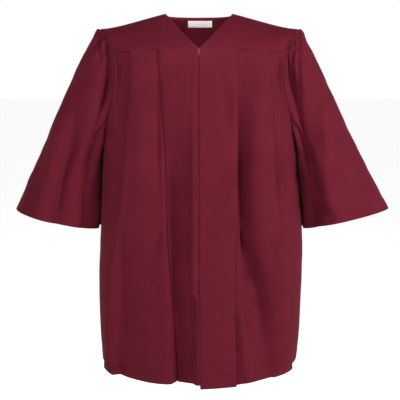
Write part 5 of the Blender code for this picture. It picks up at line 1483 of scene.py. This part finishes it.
class GOWN_OT_stage(bpy.types.Operator):
    """Makes the floor, the world, the lights and the camera"""
    bl_idname = "gown.stage"
    bl_label = "Floor, lights and camera"

    def execute(self, context):
        scene = context.scene
        backdrop()
        world = scene.world or bpy.data.worlds.new("world")
        scene.world = world
        world.use_nodes = True
        background = world.node_tree.nodes["Background"]
        background.inputs["Color"].default_value = (1.0, 1.0, 1.0, 1.0)
        nodes = world.node_tree.nodes
        links = world.node_tree.links
        way = add_node(nodes, "ShaderNodeTexCoord", (-900, 0))
        parts = add_node(nodes, "ShaderNodeSeparateXYZ", (-700, 0), sources={"Vector": way.outputs["Generated"]},
                         links=links)
        dome = add_node(nodes, "ShaderNodeMapRange", (-500, 0),
                        {"From Min": 0.08, "From Max": 0.35, "To Min": 1.0, "To Max": 0.05},
                        links, {"Value": parts.outputs["Z"]}, interpolation_type="SMOOTHSTEP")
        links.new(dome.outputs["Result"], background.inputs["Strength"])
        for light in LIGHTS:
            area_light(*light)
        camera_at(CAMERA_EYE, CAMERA_AIM, CAMERA_LENS)
        scene.view_settings.view_transform = "Standard"
        return {"FINISHED"}


class GOWN_PT_panel(bpy.types.Panel):
    """Lists the gown's pieces, sizes and colours"""
    bl_idname = "GOWN_PT_panel"
    bl_label = "Graduation gown"
    bl_space_type = "VIEW_3D"
    bl_region_type = "UI"
    bl_category = "Gown"

    def draw(self, context):
        column = self.layout.column()
        for kind in OPERATORS:
            column.operator(kind.bl_idname)
        for group in (context.scene.gown_sizes, context.scene.gown_colours):
            for name in group.bl_rna.properties.keys():
                if name not in ("rna_type", "name"):
                    column.prop(group, name)


OPERATORS = (
    GOWN_OT_fronts, GOWN_OT_back, GOWN_OT_yokes, GOWN_OT_sleeves, GOWN_OT_neck, GOWN_OT_zip, GOWN_OT_stage)
CLASSES = (GownSizes, GownColours, *OPERATORS, GOWN_PT_panel)


def register():
    for kind in CLASSES:
        bpy.utils.register_class(kind)
    bpy.types.Scene.gown_sizes = bpy.props.PointerProperty(type=GownSizes)
    bpy.types.Scene.gown_colours = bpy.props.PointerProperty(type=GownColours)


def unregister():
    del bpy.types.Scene.gown_colours
    del bpy.types.Scene.gown_sizes
    for kind in reversed(CLASSES):
        bpy.utils.unregister_class(kind)


def main():
    """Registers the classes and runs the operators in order."""
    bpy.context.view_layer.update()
    register()
    bpy.ops.gown.fronts()
    bpy.ops.gown.back()
    bpy.ops.gown.yokes()
    bpy.ops.gown.sleeves()
    bpy.ops.gown.neck()
    bpy.ops.gown.zip()
    bpy.ops.gown.stage()


if __name__ == "__main__":
    main()
